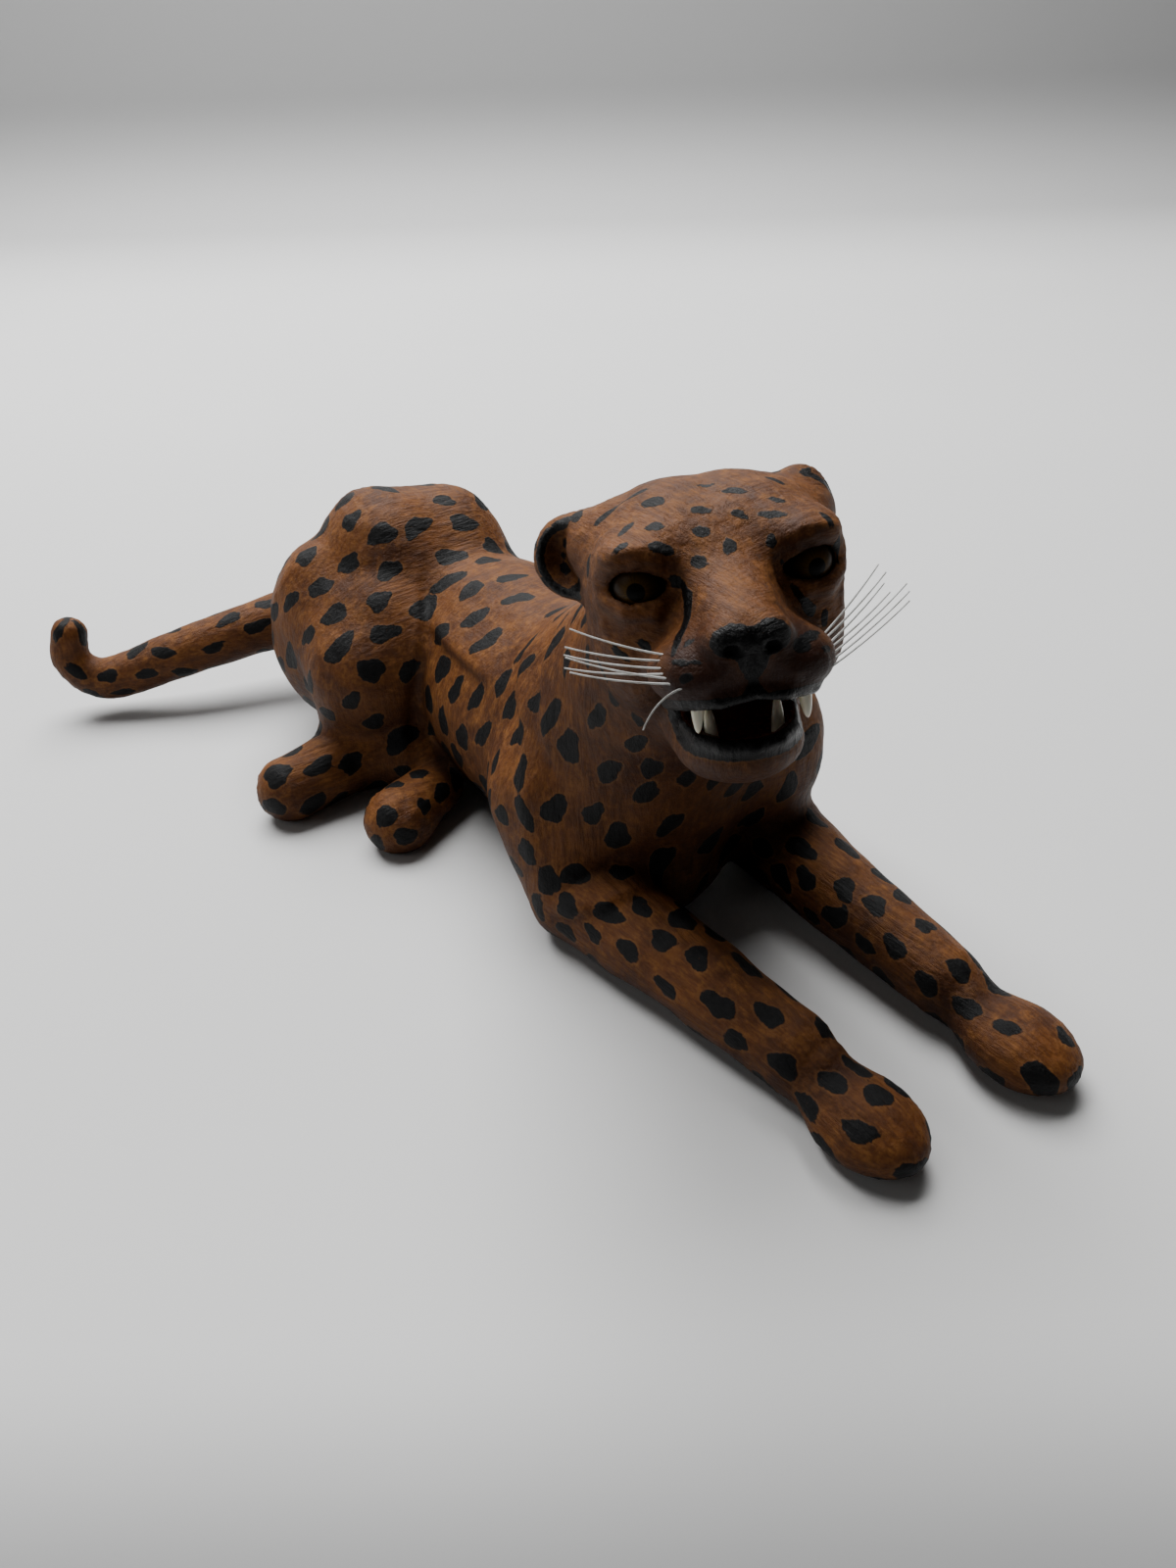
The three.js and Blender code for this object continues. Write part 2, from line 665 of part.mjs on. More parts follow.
function whiskers() {
  return SIDES.flatMap(([sideName, side]) => {
    const { first, rows } = WHISKER_SETS[sideName];
    const hairs = rows.flatMap((row) => row.lifts.map((lift, place) => ({ row, lift, place })));
    return hairs.map(({ row, lift, place }, index) => {
      const sweep = THREE.MathUtils.degToRad(FIRST_SWEEP - SWEEP_STEP * index);
      const rise = THREE.MathUtils.degToRad(lift);
      const way = new THREE.Vector3(
        -Math.sin(sweep) * Math.cos(rise), side * Math.cos(sweep) * Math.cos(rise), Math.sin(rise));
      const root = new THREE.Vector3(
        first + WHISKER_SPACING * index, side * row.side, row.height - WHISKER_DROP * place);
      const normal = skinNormal(onSkin(root, way));
      way.addScaledVector(normal, Math.max(LEAST_RISE - way.dot(normal), 0)).normalize();
      const name = `whisker_${sideName}_${index + 1}`;
      const curled = name === CURLED_WHISKER;
      const reach = WHISKER_LENGTH * (curled ? CURLED_REACH : row.reach);
      return { name, skin: onSkin(root, way), way, reach, curl: curled ? CURLED_DROP : CURL };
    });
  });
}

// The direction straight out of the skin of the face, on the head's axes.
function skinNormal({ x, y, z }) {
  return new THREE.Vector3(...slopeOf(mirrored(face), x, y, z)).normalize();
}

// The point where a line through the whisker pad comes out of the skin, on the head's axes.
function onSkin(start, way) {
  const point = start.clone().addScaledVector(way, -6);
  const axis = mirrored(face);
  for (let n = 0; n < 200 && axis(point.x, point.y, point.z) < 0; n++) point.addScaledVector(way, 0.1);
  return point;
}

function whiskerGeometry({ skin, way, reach, curl }) {
  const place = (distance, drop) => {
    const p = skin.clone().addScaledVector(way, distance / SCALE);
    return headPoint(p.x, p.y, p.z + drop / SCALE);
  };
  const curve = new THREE.QuadraticBezierCurve3(
    place(-WHISKER_ROOT, 0), place(reach * 0.5, 0), place(reach, reach * curl));
  const section = new THREE.Shape();
  for (let n = 0; n < WHISKER_SIDES; n++) {
    const angle = 2 * Math.PI * n / WHISKER_SIDES;
    const [x, y] = [Math.cos(angle), Math.sin(angle)].map((value) => value * WHISKER_DIAMETER / 2);
    if (n === 0) section.moveTo(x, y);
    else section.lineTo(x, y);
  }
  section.closePath();
  return new THREE.ExtrudeGeometry(
    section, { steps: WHISKER_STEPS, extrudePath: curve, bevelEnabled: false });
}

function whiskerHole({ skin, way }) {
  const depth = WHISKER_ROOT + FIT_GAP;
  const length = depth + 1.5;
  const hole = new THREE.CylinderGeometry(
    WHISKER_DIAMETER / 2 + FIT_GAP + 0.1, WHISKER_DIAMETER / 2 + FIT_GAP + 0.1, length, WHISKER_SIDES);
  hole.translate(0, length / 2, 0);
  const start = skin.clone().addScaledVector(way, -depth / SCALE);
  const end = skin.clone().addScaledVector(way, 1);
  return aim(hole, headPoint(start.x, start.y, start.z), headPoint(end.x, end.y, end.z));
}

// Materials

const leather = new THREE.MeshStandardMaterial({ color: 0x8c5532, roughness: 0.55, metalness: 0 });
const glass = new THREE.MeshStandardMaterial({ color: 0x2b2412, roughness: 0.08, metalness: 0 });
const ivory = new THREE.MeshStandardMaterial({ color: 0xd8d3c0, roughness: 0.25, metalness: 0 });
const nylon = new THREE.MeshStandardMaterial({ color: 0xe6e6e2, roughness: 0.35, metalness: 0 });

function piece(name, geometry, material) {
  const mesh = new THREE.Mesh(closed(geometry), material);
  mesh.name = name;
  return mesh;
}

const leopard = new THREE.Group();
const cutters = [];

for (const [sideName, side] of SIDES) {
  leopard.add(piece(`glass_eye_${sideName}`, eyeGeometry(side), glass));
  cutters.push(eyeGeometry(side, FIT_GAP));
  for (const tooth of TEETH) {
    leopard.add(piece(`${tooth.name}_${sideName}`, toothGeometry(tooth, side), ivory));
    cutters.push(toothGeometry(tooth, side, FIT_GAP));
  }
}

for (const hair of whiskers()) {
  leopard.add(piece(hair.name, whiskerGeometry(hair), nylon));
  cutters.push(whiskerHole(hair));
}

leopard.add(piece('leather_body', bodyGeometry(cutters), leather));

export default leopard;
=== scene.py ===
import math

import bpy
import numpy as np
from mathutils import Matrix, Vector, noise


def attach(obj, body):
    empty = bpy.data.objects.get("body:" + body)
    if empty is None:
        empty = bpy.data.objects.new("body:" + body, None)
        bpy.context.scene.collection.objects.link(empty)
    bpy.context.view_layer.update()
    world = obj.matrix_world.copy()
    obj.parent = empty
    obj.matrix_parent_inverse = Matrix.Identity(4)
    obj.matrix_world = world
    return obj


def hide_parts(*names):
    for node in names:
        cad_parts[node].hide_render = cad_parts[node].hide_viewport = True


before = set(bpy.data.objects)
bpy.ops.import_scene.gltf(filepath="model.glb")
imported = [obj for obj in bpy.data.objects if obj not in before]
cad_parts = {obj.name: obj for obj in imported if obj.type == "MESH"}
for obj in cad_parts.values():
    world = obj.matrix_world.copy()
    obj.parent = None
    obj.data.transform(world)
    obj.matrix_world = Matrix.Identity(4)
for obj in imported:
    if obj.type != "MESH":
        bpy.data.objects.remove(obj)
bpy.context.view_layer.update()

# The leopard lies on z = 0 with +X on its left and -Y in front. The form is written in
# millimetres, as in the solids, and the Blender pieces are in metres.
MM = 0.001
REAL = np.float32
TINY = REAL(1e-6)
SIDES = (("right", -1), ("left", 1))

# Grid of the skin's mesh
FINE_STEP = 0.95
COARSE_STEP = 1.95
LOW = (-136, -196, -2.7)
HIGH = (58, 200, 156)
FINE_RANGE = ((-62, 24), (-146, -62), (84, 156))  # round the head, along x, y and z


# Signed distances, negative inside. Points are rows of x, y, z.


def vec(*numbers):
    return np.array(numbers, REAL)


def length(rows):
    return np.sqrt(np.einsum("ij,ij->i", rows, rows))


def soft_min(a, b, width):
    h = np.maximum(width - np.abs(a - b), 0) / width
    return np.minimum(a, b) - h * h * REAL(width / 4)


def hollow(shape, tool, width):
    return -soft_min(-shape, tool, width)


def turn(axis, degrees):
    return np.array(Matrix.Rotation(math.radians(degrees), 3, axis), REAL)


def ellipsoid(p, centre, radii, rotation=None):
    q = p - vec(*centre)
    if rotation is not None:
        q = q @ rotation
    r = vec(*radii)
    near = length(q / r)
    slope = length(q / (r * r))
    return near * (near - 1) / np.maximum(slope, TINY)


def rounded_box(p, centre, half, radius):
    q = np.abs(p - vec(*centre)) - (vec(*half) - REAL(radius))
    return length(np.maximum(q, 0)) + np.minimum(q.max(1), 0) - REAL(radius)


def from_stretch(p, a, b):
    """How far along a straight stretch each point lies, as a share, and its offset from there."""
    way = b - a
    t = np.clip((p - a) @ way / (way @ way), 0, 1)
    return t, p - a - t[:, None] * way


def limb(p, points, radii):
    best = None
    for (a, b), (r0, r1) in zip(zip(points, points[1:]), zip(radii, radii[1:])):
        t, offset = from_stretch(p, vec(*a), vec(*b))
        d = length(offset) - (r0 + (r1 - r0) * t)
        best = d if best is None else np.minimum(best, d)
    return best


def blend(first, *others):
    for width, shape in others:
        first = soft_min(first, shape, width)
    return first


# The head has its own axes: u to the nose, v to the animal's left, w to the crown.
HEAD_CENTRE = (-19.2, -96.3, 124)
HEAD_YAW, HEAD_PITCH, HEAD_ROLL = 31, 18, 4.8


def head_axes():
    yaw, pitch, roll = map(math.radians, (HEAD_YAW, HEAD_PITCH, HEAD_ROLL))
    u = Vector((-math.sin(yaw) * math.cos(pitch), -math.cos(yaw) * math.cos(pitch), math.sin(pitch)))
    v = Vector((math.cos(yaw), -math.sin(yaw), 0))
    w = u.cross(v)
    about = Matrix.Rotation(roll, 3, u)
    return np.array([u, about @ v, about @ w], REAL).T


AXES = head_axes()


def to_head(p):
    return (np.asarray(p, REAL) - vec(*HEAD_CENTRE)) @ AXES


def from_head(q):
    return np.asarray(q, REAL) @ AXES.T + vec(*HEAD_CENTRE)


def mirrored(q):
    m = q.copy()
    m[:, 1] = np.abs(m[:, 1])
    return m


def trunk(p):
    return blend(
        ellipsoid(p, (0, -18, 40), (41, 56, 43)),  # ribs
        (18, ellipsoid(p, (0, 34, 40), (37, 52, 41))),  # loins
        (16, ellipsoid(p, (-12, 90, 44), (45, 46, 42))),  # hindquarters
        (16, ellipsoid(p, (-21, 87, 77), (19, 25, 22))),  # right hip
        (14, ellipsoid(p, (6, 86, 75), (17, 23, 19))),  # left hip
        (12, ellipsoid(p, (-36, 98, 40), (27, 32, 32))),  # right buttock
        (14, ellipsoid(p, (0, -48, 50), (40, 32, 40))),  # chest
        (10, ellipsoid(p, (29, -64, 48), (20.5, 21, 30))),  # left shoulder
        (10, ellipsoid(p, (-7, -60, 16), (24, 17, 18))),  # breast between the forelegs
    )


def neck(p):
    return limb(p, [(-2, -48, 66), (-8, -68, 88), (-14, -88, 112)], [36, 31, 26])


RIGHT_FORELEG = [(-31, -40, 40), (-34, -56, 14), (-29, -100, 13), (-25, -141, 10.5), (-25, -167, 8)]
LEFT_FORELEG = [(31, -44, 42), (34, -64, 14.5), (30, -104, 12.5), (27.5, -146, 10.5), (26.5, -173, 8)]


def foreleg(p, places):
    return blend(
        limb(p, places[:4], [21, 16, 13, 10.8]),
        (12, ellipsoid(p, places[4], (13.3, 17.5, 9))),
    )


RIGHT_HIND_FOOT = [(-50, 61, 13), (-82, 57.5, 10.5)]
LEFT_HIND_FOOT = [(-38, 29, 9), (-59, 18, 9)]


def right_hind_leg(p):
    return blend(
        limb(p, [(-34, 92, 54), (-45, 62, 44)], [30, 19]),
        (8, ellipsoid(p, (-32, 70, 46), (24, 31, 33))),  # thigh
        (10, limb(p, [(-45, 62, 44), (-50, 66, 14)], [18, 13])),
        (8, limb(p, RIGHT_HIND_FOOT, [13, 12])),
        (6, limb(p, [(-47, 60, 13), (-34, 41, 16)], [13, 12])),
    )


def left_hind_foot(p):
    return limb(p, LEFT_HIND_FOOT, [9.5, 12])


TAIL_ROUTE = [(0, 118, 37), (-18, 140, 35), (-46, 152, 30), (-80, 161, 24), (-106, 172, 16),
              (-117, 178, 16), (-123, 183, 24), (-121, 183, 35)]
TAIL_STEPS = 22


def tail_line():
    """Points and radii along a smooth curve through the route."""
    route = np.array([TAIL_ROUTE[0], *TAIL_ROUTE, TAIL_ROUTE[-1]], float)
    points = []
    for s in np.linspace(0, len(TAIL_ROUTE) - 1, TAIL_STEPS + 1):
        i = min(int(s), len(TAIL_ROUTE) - 2)
        t = s - i
        a, b, c, d = route[i : i + 4]
        cubic = 2 * b + (c - a) * t + (2 * a - 5 * b + 4 * c - d) * t**2 + (3 * b - a - 3 * c + d) * t**3
        points.append(tuple(cubic / 2))
    along = np.linspace(0, 1, TAIL_STEPS + 1)
    return points, 14 - 11 * along + 3.9 * along**2


TAIL_POINTS, TAIL_RADII = tail_line()

# Each ear: its form, the cup that is taken out of it, and its tilt
RIGHT_CUP_MIDDLE = (-11, -31.6, 10.9)
RIGHT_EAR = (((-18, -31, 11), (6.5, 11, 10.5)), (RIGHT_CUP_MIDDLE, (8, 10.5, 9.5)),
             turn("X", -30) @ turn("Z", -30))
LEFT_EAR = (((-18, 26.5, 15), (6.5, 9.5, 10.5)), ((-11, 26, 14.2), (7.8, 8.2, 8.4)), turn("Z", 35))
EAR_EDGE = 1.5


def ear(q, form, cup, tilt):
    return hollow(ellipsoid(q, *form, tilt), ellipsoid(q, *cup, tilt), EAR_EDGE)


BRIDGE = ([(8, 0, 4), (33, 0, -7)], [13, 9.5])
MUZZLE = ((18, 0, -12), (17, 14, 9))
WHISKER_PAD = ((26, 9, -13), (13, 11.5, 8))
CHIN = ((12, 0, -33), (21, 15.2, 9.5))
EYE_SLIT = ((20, 18.8, 4.8), (7.5, 6.5, 2.9))
LIPS = ((31, 0, -24.2), (20, 34, 5.6))
CAVITY = ((24, 0, -24.4), (18, 11, 5.4), 4.5)


def mouth(m):
    return blend(ellipsoid(m, *LIPS), (1, rounded_box(m, *CAVITY)))


def face(m):
    skull = blend(
        ellipsoid(m, (-10, 0, 2), (30, 28, 24)),
        (12, ellipsoid(m, (-5, 11, 10.5), (19, 15, 12.4))),  # crown
        (6, ellipsoid(m, (-14, 21, 13.5), (12, 12, 9))),  # root of the ear
        (6, ellipsoid(m, (12, 18, 12.2), (9, 9.5, 4.8))),  # brow
        (6, ellipsoid(m, (3, 19.6, 3), (15, 9, 12))),  # temple
        (8, ellipsoid(m, (-2, 18, -11), (18, 11.5, 16))),  # cheek
    )
    muzzle = blend(
        limb(m, *BRIDGE),
        (7, ellipsoid(m, *MUZZLE)),
        (5, ellipsoid(m, *WHISKER_PAD)),
        (3, ellipsoid(m, (37.8, 4.2, -5.4), (4.3, 4.7, 3.6))),  # nose
        (2, ellipsoid(m, (37.6, 0, -6.2), (4.6, 6, 4))),  # middle of the nose
    )
    nostril = ellipsoid(m, (42.6, 4.4, -7.3), (2.4, 2, 1.1))
    upper_lip = limb(m, [(38.6, 0, -17.4), (37.2, 7, -18.3), (32, 13.6, -18.8), (22, 16.4, -20.4)],
                     [1.2, 1.7, 1.8, 1.4])
    lower_lip = limb(m, [(33.4, 0, -30.4), (30.4, 6.4, -30), (25, 10.4, -29), (16, 12.6, -26.6)],
                     [1.9, 1.9, 1.8, 1.4])
    groove = limb(m, [(42.5, 0, -9), (39.5, 0, -19)], [1.2, 1.2])
    jaw = blend(
        ellipsoid(m, *CHIN),
        (8, ellipsoid(m, (-6, 0, -24), (22, 19, 15))),
    )
    solid = blend(hollow(blend(skull, (7, muzzle)), groove, 2), (4, jaw))
    opened = blend(hollow(solid, mouth(m), 2), (2, upper_lip), (1.5, lower_lip))
    opened = hollow(opened, nostril, 1)
    recess = ellipsoid(m, (19, 19, 4.5), (8, 8.5, 5.5))
    lower_lid = limb(m, [(16.5, 12, 2.5), (18.4, 16.5, 0), (16.5, 22.5, 0.4), (11.5, 26.2, 3)],
                     [2, 2.2, 2.2, 2.4])
    upper_lid = limb(m, [(17.5, 12, 5.2), (18.2, 16, 10), (16, 22, 10.6), (10.5, 26, 7.4)],
                     [2, 2.4, 2.4, 2.4])
    lids = blend(hollow(opened, recess, 3), (2.5, lower_lid), (2.5, upper_lid))
    return hollow(lids, ellipsoid(m, *EYE_SLIT), 1)


def head(p):
    q = to_head(p)
    return blend(face(mirrored(q)), (5, ear(q, *RIGHT_EAR)), (5, ear(q, *LEFT_EAR)))


EYE_PLACE = (12.6, 18.8, 5.3)
EYE_RADIUS = 6.3
FIT_GAP = 0.3
BASE_EDGE = 1.5  # rounding of the edge where the form lies on the floor


def figure(p):
    p = np.asarray(p, REAL)
    whole = blend(
        trunk(p),
        (14, neck(p)),
        (9, foreleg(p, RIGHT_FORELEG)),
        (9, foreleg(p, LEFT_FORELEG)),
        (3, right_hind_leg(p)),
        (4, left_hind_foot(p)),
        (6, limb(p, TAIL_POINTS, TAIL_RADII)),
        (8, head(p)),
    )
    eye = length(mirrored(to_head(p)) - vec(*EYE_PLACE)) - REAL(EYE_RADIUS + FIT_GAP)
    return hollow(hollow(whole, eye, 0.3), p[:, 2], BASE_EDGE)


# Meshing


def grid_line(axis):
    places = [LOW[axis]]
    start, end = FINE_RANGE[axis]
    while places[-1] < HIGH[axis]:
        step = FINE_STEP if start <= places[-1] < end else COARSE_STEP
        places.append(places[-1] + step)
    return np.array(places)


BLOCK = 8  # grid points to a side of the blocks that are skipped away from the skin


def sample(shape, xs, ys, zs):
    """The shape at every grid point near the skin, and its side elsewhere."""
    values = np.zeros((len(xs), len(ys), len(zs)), REAL)
    starts = range(0, len(zs), BLOCK)
    for i in range(0, len(xs), BLOCK):
        for j in range(0, len(ys), BLOCK):
            x, y = xs[i : i + BLOCK], ys[j : j + BLOCK]
            columns = [zs[k : k + BLOCK] for k in starts]
            middles = np.array([(x.mean(), y.mean(), z.mean()) for z in columns], REAL)
            across = np.hypot(np.ptp(x), np.ptp(y))
            halves = np.array([np.hypot(across, np.ptp(z)) / 2 for z in columns])
            distance = shape(middles)
            near = np.abs(distance) < halves * 1.6 + 3
            for k, d in zip(starts, distance):
                values[i : i + BLOCK, j : j + BLOCK, k : k + BLOCK] = d
            if not near.any():
                continue
            blocks = [np.stack(np.meshgrid(x, y, z, indexing="ij"), -1)
                      for z, n in zip(columns, near) if n]
            found = shape(np.concatenate([b.reshape(-1, 3) for b in blocks]))
            done = 0
            for k in [k for k, n in zip(starts, near) if n]:
                size = values[i : i + BLOCK, j : j + BLOCK, k : k + BLOCK].shape
                count = int(np.prod(size))
                part = found[done : done + count].reshape(size)
                values[i : i + BLOCK, j : j + BLOCK, k : k + BLOCK] = part
                done += count
    return values


def clear_crossings(values):
    """Where the corners of a grid square lie inside and outside in turn, the nearest changes side."""
    for axis in range(3):
        p, q = [a for a in range(3) if a != axis]

        def corner(dp, dq):
            cut = [slice(None)] * 3
            cut[p] = slice(dp, values.shape[p] - 1 + dp)
            cut[q] = slice(dq, values.shape[q] - 1 + dq)
            return values[tuple(cut)]

        square = np.stack([corner(0, 0), corner(1, 0), corner(1, 1), corner(0, 1)])
        inside = square < 0
        crossed = (inside[0] == inside[2]) & (inside[1] == inside[3]) & (inside[0] != inside[1])
        for place in np.argwhere(crossed):
            nearest = int(np.argmin(np.abs(square[(slice(None), *place)])))
            target = place.copy()
            target[p] += (0, 1, 1, 0)[nearest]
            target[q] += (0, 0, 1, 1)[nearest]
            values[tuple(target)] *= -1


def surface_net(values, lines):
    """One point in each cell that the skin crosses, and one face across each crossed grid edge."""
    inside = values < 0
    corners = [(a, b, c) for a in (0, 1) for b in (0, 1) for c in (0, 1)]

    def shifted(array, corner):
        cut = tuple(slice(d, n - 1 + d) for d, n in zip(corner, values.shape))
        return array[cut]

    count = sum(shifted(inside, c).astype(np.uint8) for c in corners)
    cells = np.argwhere((count > 0) & (count < 8))
    ids = np.full(count.shape, -1)
    ids[tuple(cells.T)] = np.arange(len(cells))
    total = np.zeros((len(cells), 3))
    crossings = np.zeros(len(cells))
    for corner in corners:
        for axis in range(3):
            if corner[axis]:
                continue
            other = tuple(1 if a == axis else c for a, c in enumerate(corner))
            near, far = cells + corner, cells + other
            v0, v1 = values[tuple(near.T)], values[tuple(far.T)]
            crossed = (v0 < 0) != (v1 < 0)
            t = np.where(crossed, v0 / np.where(crossed, v0 - v1, 1), 0)
            p0 = np.stack([lines[a][near[:, a]] for a in range(3)], 1)
            p1 = np.stack([lines[a][far[:, a]] for a in range(3)], 1)
            total += np.where(crossed[:, None], p0 + (p1 - p0) * t[:, None], 0)
            crossings += crossed
    faces = []
    for axis in range(3):
        p, q = (axis + 1) % 3, (axis + 2) % 3
        low = tuple(slice(0, -1) if a == axis else slice(None) for a in range(3))
        high = tuple(slice(1, None) if a == axis else slice(None) for a in range(3))
        edges = np.argwhere(inside[low] != inside[high])
        keep = [(edges[:, a] > 0) & (edges[:, a] < values.shape[a] - 1) for a in (p, q)]
        edges = edges[keep[0] & keep[1]]
        quad = []
        for dp, dq in ((0, 0), (1, 0), (1, 1), (0, 1)):
            cell = edges.copy()
            cell[:, p] -= dp
            cell[:, q] -= dq
            quad.append(ids[tuple(cell.T)])
        quad = np.stack(quad, 1)
        outward = inside[low][tuple(edges.T)]
        quad[~outward] = quad[~outward][:, ::-1]
        faces.append(quad)
    return total / crossings[:, None], np.concatenate(faces)


def slope(shape, p, reach=0.15):
    g = np.zeros((len(p), 3), REAL)
    for axis in range(3):
        step = np.zeros(3, REAL)
        step[axis] = reach
        g[:, axis] = (shape(p + step) - shape(p - step)) / (2 * reach)
    return g


def onto_skin(shape, p, farthest=0.3):
    p = p.astype(REAL)
    g = slope(shape, p)
    step = shape(p) / np.maximum(np.einsum("ij,ij->i", g, g), 0.2)
    return p - np.clip(step, -farthest, farthest)[:, None] * g


def unit(rows):
    return rows / np.maximum(length(rows), TINY)[:, None]


lines = [grid_line(axis) for axis in range(3)]
values = sample(figure, *lines)
clear_crossings(values)
points, faces = surface_net(values, lines)
points = onto_skin(figure, points)
normals = unit(slope(figure, points))
in_head = to_head(points)
in_half = mirrored(in_head)

# Where the parts of the body are, as weights that add up to one

PARTS = {
    "trunk": trunk,
    "neck": neck,
    "right_foreleg": lambda p: foreleg(p, RIGHT_FORELEG),
    "left_foreleg": lambda p: foreleg(p, LEFT_FORELEG),
    "thigh": right_hind_leg,
    "right_hind_foot": lambda p: limb(p, RIGHT_HIND_FOOT, [13, 12]),
    "left_hind_foot": left_hind_foot,
    "tail": lambda p: limb(p, TAIL_POINTS, TAIL_RADII),
    "head": head,
}
PART_BLEND = 4
shares = {name: np.exp(-np.maximum(shape(points), 0) / PART_BLEND) for name, shape in PARTS.items()}
total = sum(shares.values())
shares = {name: share / total for name, share in shares.items()}


def in_tangent_plane(ways):
    return unit(ways - np.einsum("ij,ij->i", ways, normals)[:, None] * normals)


def along_line(line):
    """The direction of the nearest stretch of a line, at every point of the skin."""
    line = np.array(line, REAL)
    best = np.full(len(points), np.inf, REAL)
    ways = np.zeros_like(points)
    for a, b in zip(line, line[1:]):
        d = length(from_stretch(points, a, b)[1])
        near = d < best
        best[near] = d[near]
        ways[near] = (b - a) / np.linalg.norm(b - a)
    return ways


NOSE_TIP = (40, 0, -6)
slanting = in_tangent_plane(np.tile(vec(0.6, -0.45, 0.66), (len(points), 1)))
upward = in_tangent_plane(np.tile(vec(0.2, -0.25, 0.95), (len(points), 1)))
backward = in_tangent_plane(points - from_head(vec(*NOSE_TIP)[None]))
ways = {
    "trunk": slanting,
    "neck": upward,
    "right_foreleg": along_line(RIGHT_FORELEG),
    "left_foreleg": along_line(LEFT_FORELEG),
    "thigh": slanting,
    "right_hind_foot": along_line(RIGHT_HIND_FOOT),
    "left_hind_foot": along_line(LEFT_HIND_FOOT),
    "tail": along_line(TAIL_POINTS),
    "head": backward,
}
flow = np.zeros_like(points)
for name, way in ways.items():
    sign = np.where(np.einsum("ij,ij->i", flow, way) < 0, -1, 1)
    flow += way * (sign * shares[name])[:, None]
flow = in_tangent_plane(flow)

# Spots: half length, half width, and the least distance of two along and across, per part

SPOTS = {
    "trunk": (5.2, 3.7, 13.5, 11.5),
    "neck": (5.2, 2.9, 13, 9),
    "right_foreleg": (4.2, 3.2, 10.5, 8.3),
    "left_foreleg": (4.2, 3.2, 10.5, 8.3),
    "thigh": (5.2, 3.8, 13, 11),
    "right_hind_foot": (4.6, 3.2, 10.5, 9),
    "left_hind_foot": (4, 3, 10, 8.5),
    "tail": (4.6, 2.6, 12, 8.5),
    "head": (2.6, 1.7, 8, 7),
}
sizes = sum(shares[name][:, None] * vec(*SPOTS[name]) for name in SPOTS)
LOWEST_SPOT = 3  # above the floor
FACE_START = -12  # along the head: the spots in front of it are placed one by one
MOST_TRIES = 16000
SPOT_TURN = 22  # degrees off the flow of the hide, at most
SPOT_WOBBLE, FACE_WOBBLE = 0.13, 0.07
FAR = 9  # stands for any distance from a spot that is too large to matter
spot_rng = np.random.default_rng(12)


def scatter_spots():
    face_part = (shares["head"] > 0.5) & (in_head[:, 0] > FACE_START)
    free = np.flatnonzero((points[:, 2] > LOWEST_SPOT) & ~face_part)
    kept = np.empty(0, int)
    for i in spot_rng.permutation(free)[:MOST_TRIES]:
        offset = points[kept] - points[i]
        spacing = (sizes[kept] + sizes[i]) / 2
        a = (offset @ flow[i]) / spacing[:, 2]
        side = offset - np.outer(offset @ flow[i], flow[i])
        if (a * a + (length(side) / spacing[:, 3]) ** 2 >= 1).all():
            kept = np.append(kept, i)
    return kept


def spot_distance(centre, way, normal, half_length, half_width, wobble):
    """Signed distance along the skin to the edge of one spot, and where it holds."""
    offset = points - centre
    reach = half_length * 2 + 4
    near = np.flatnonzero((np.einsum("ij,ij->i", offset, offset) < reach * reach)
                          & (normals @ normal > 0.1))
    offset = offset[near]
    a, b = offset @ way, offset @ np.cross(normal, way)
    angle = np.arctan2(b / half_width, a / half_length)
    edge = 1 + sum(size * np.sin(n * angle + phase) for n, size, phase in wobble)
    return near, (np.hypot(a / half_length, b / half_width) - edge) * half_width


def wobble_of(strength):
    return [(n, strength * size * spot_rng.uniform(0.5, 1.3), spot_rng.uniform(0, 2 * math.pi))
            for n, size in ((2, 0.9), (3, 0.9), (5, 0.5))]


spot = np.full(len(points), FAR, REAL)
for i in scatter_spots():
    angle = math.radians(spot_rng.uniform(-SPOT_TURN, SPOT_TURN))
    turned = Matrix.Rotation(angle, 3, Vector(normals[i].tolist()))
    way = np.array(turned @ Vector(flow[i].tolist()), REAL)
    scale = spot_rng.uniform(0.85, 1.15)
    half_length = sizes[i, 0] * scale * spot_rng.uniform(0.9, 1.2)
    half_width = sizes[i, 1] * scale * spot_rng.uniform(0.8, 1.1)
    near, distance = spot_distance(
        points[i], way, normals[i], half_length, half_width, wobble_of(SPOT_WOBBLE))
    spot[near] = np.minimum(spot[near], distance)

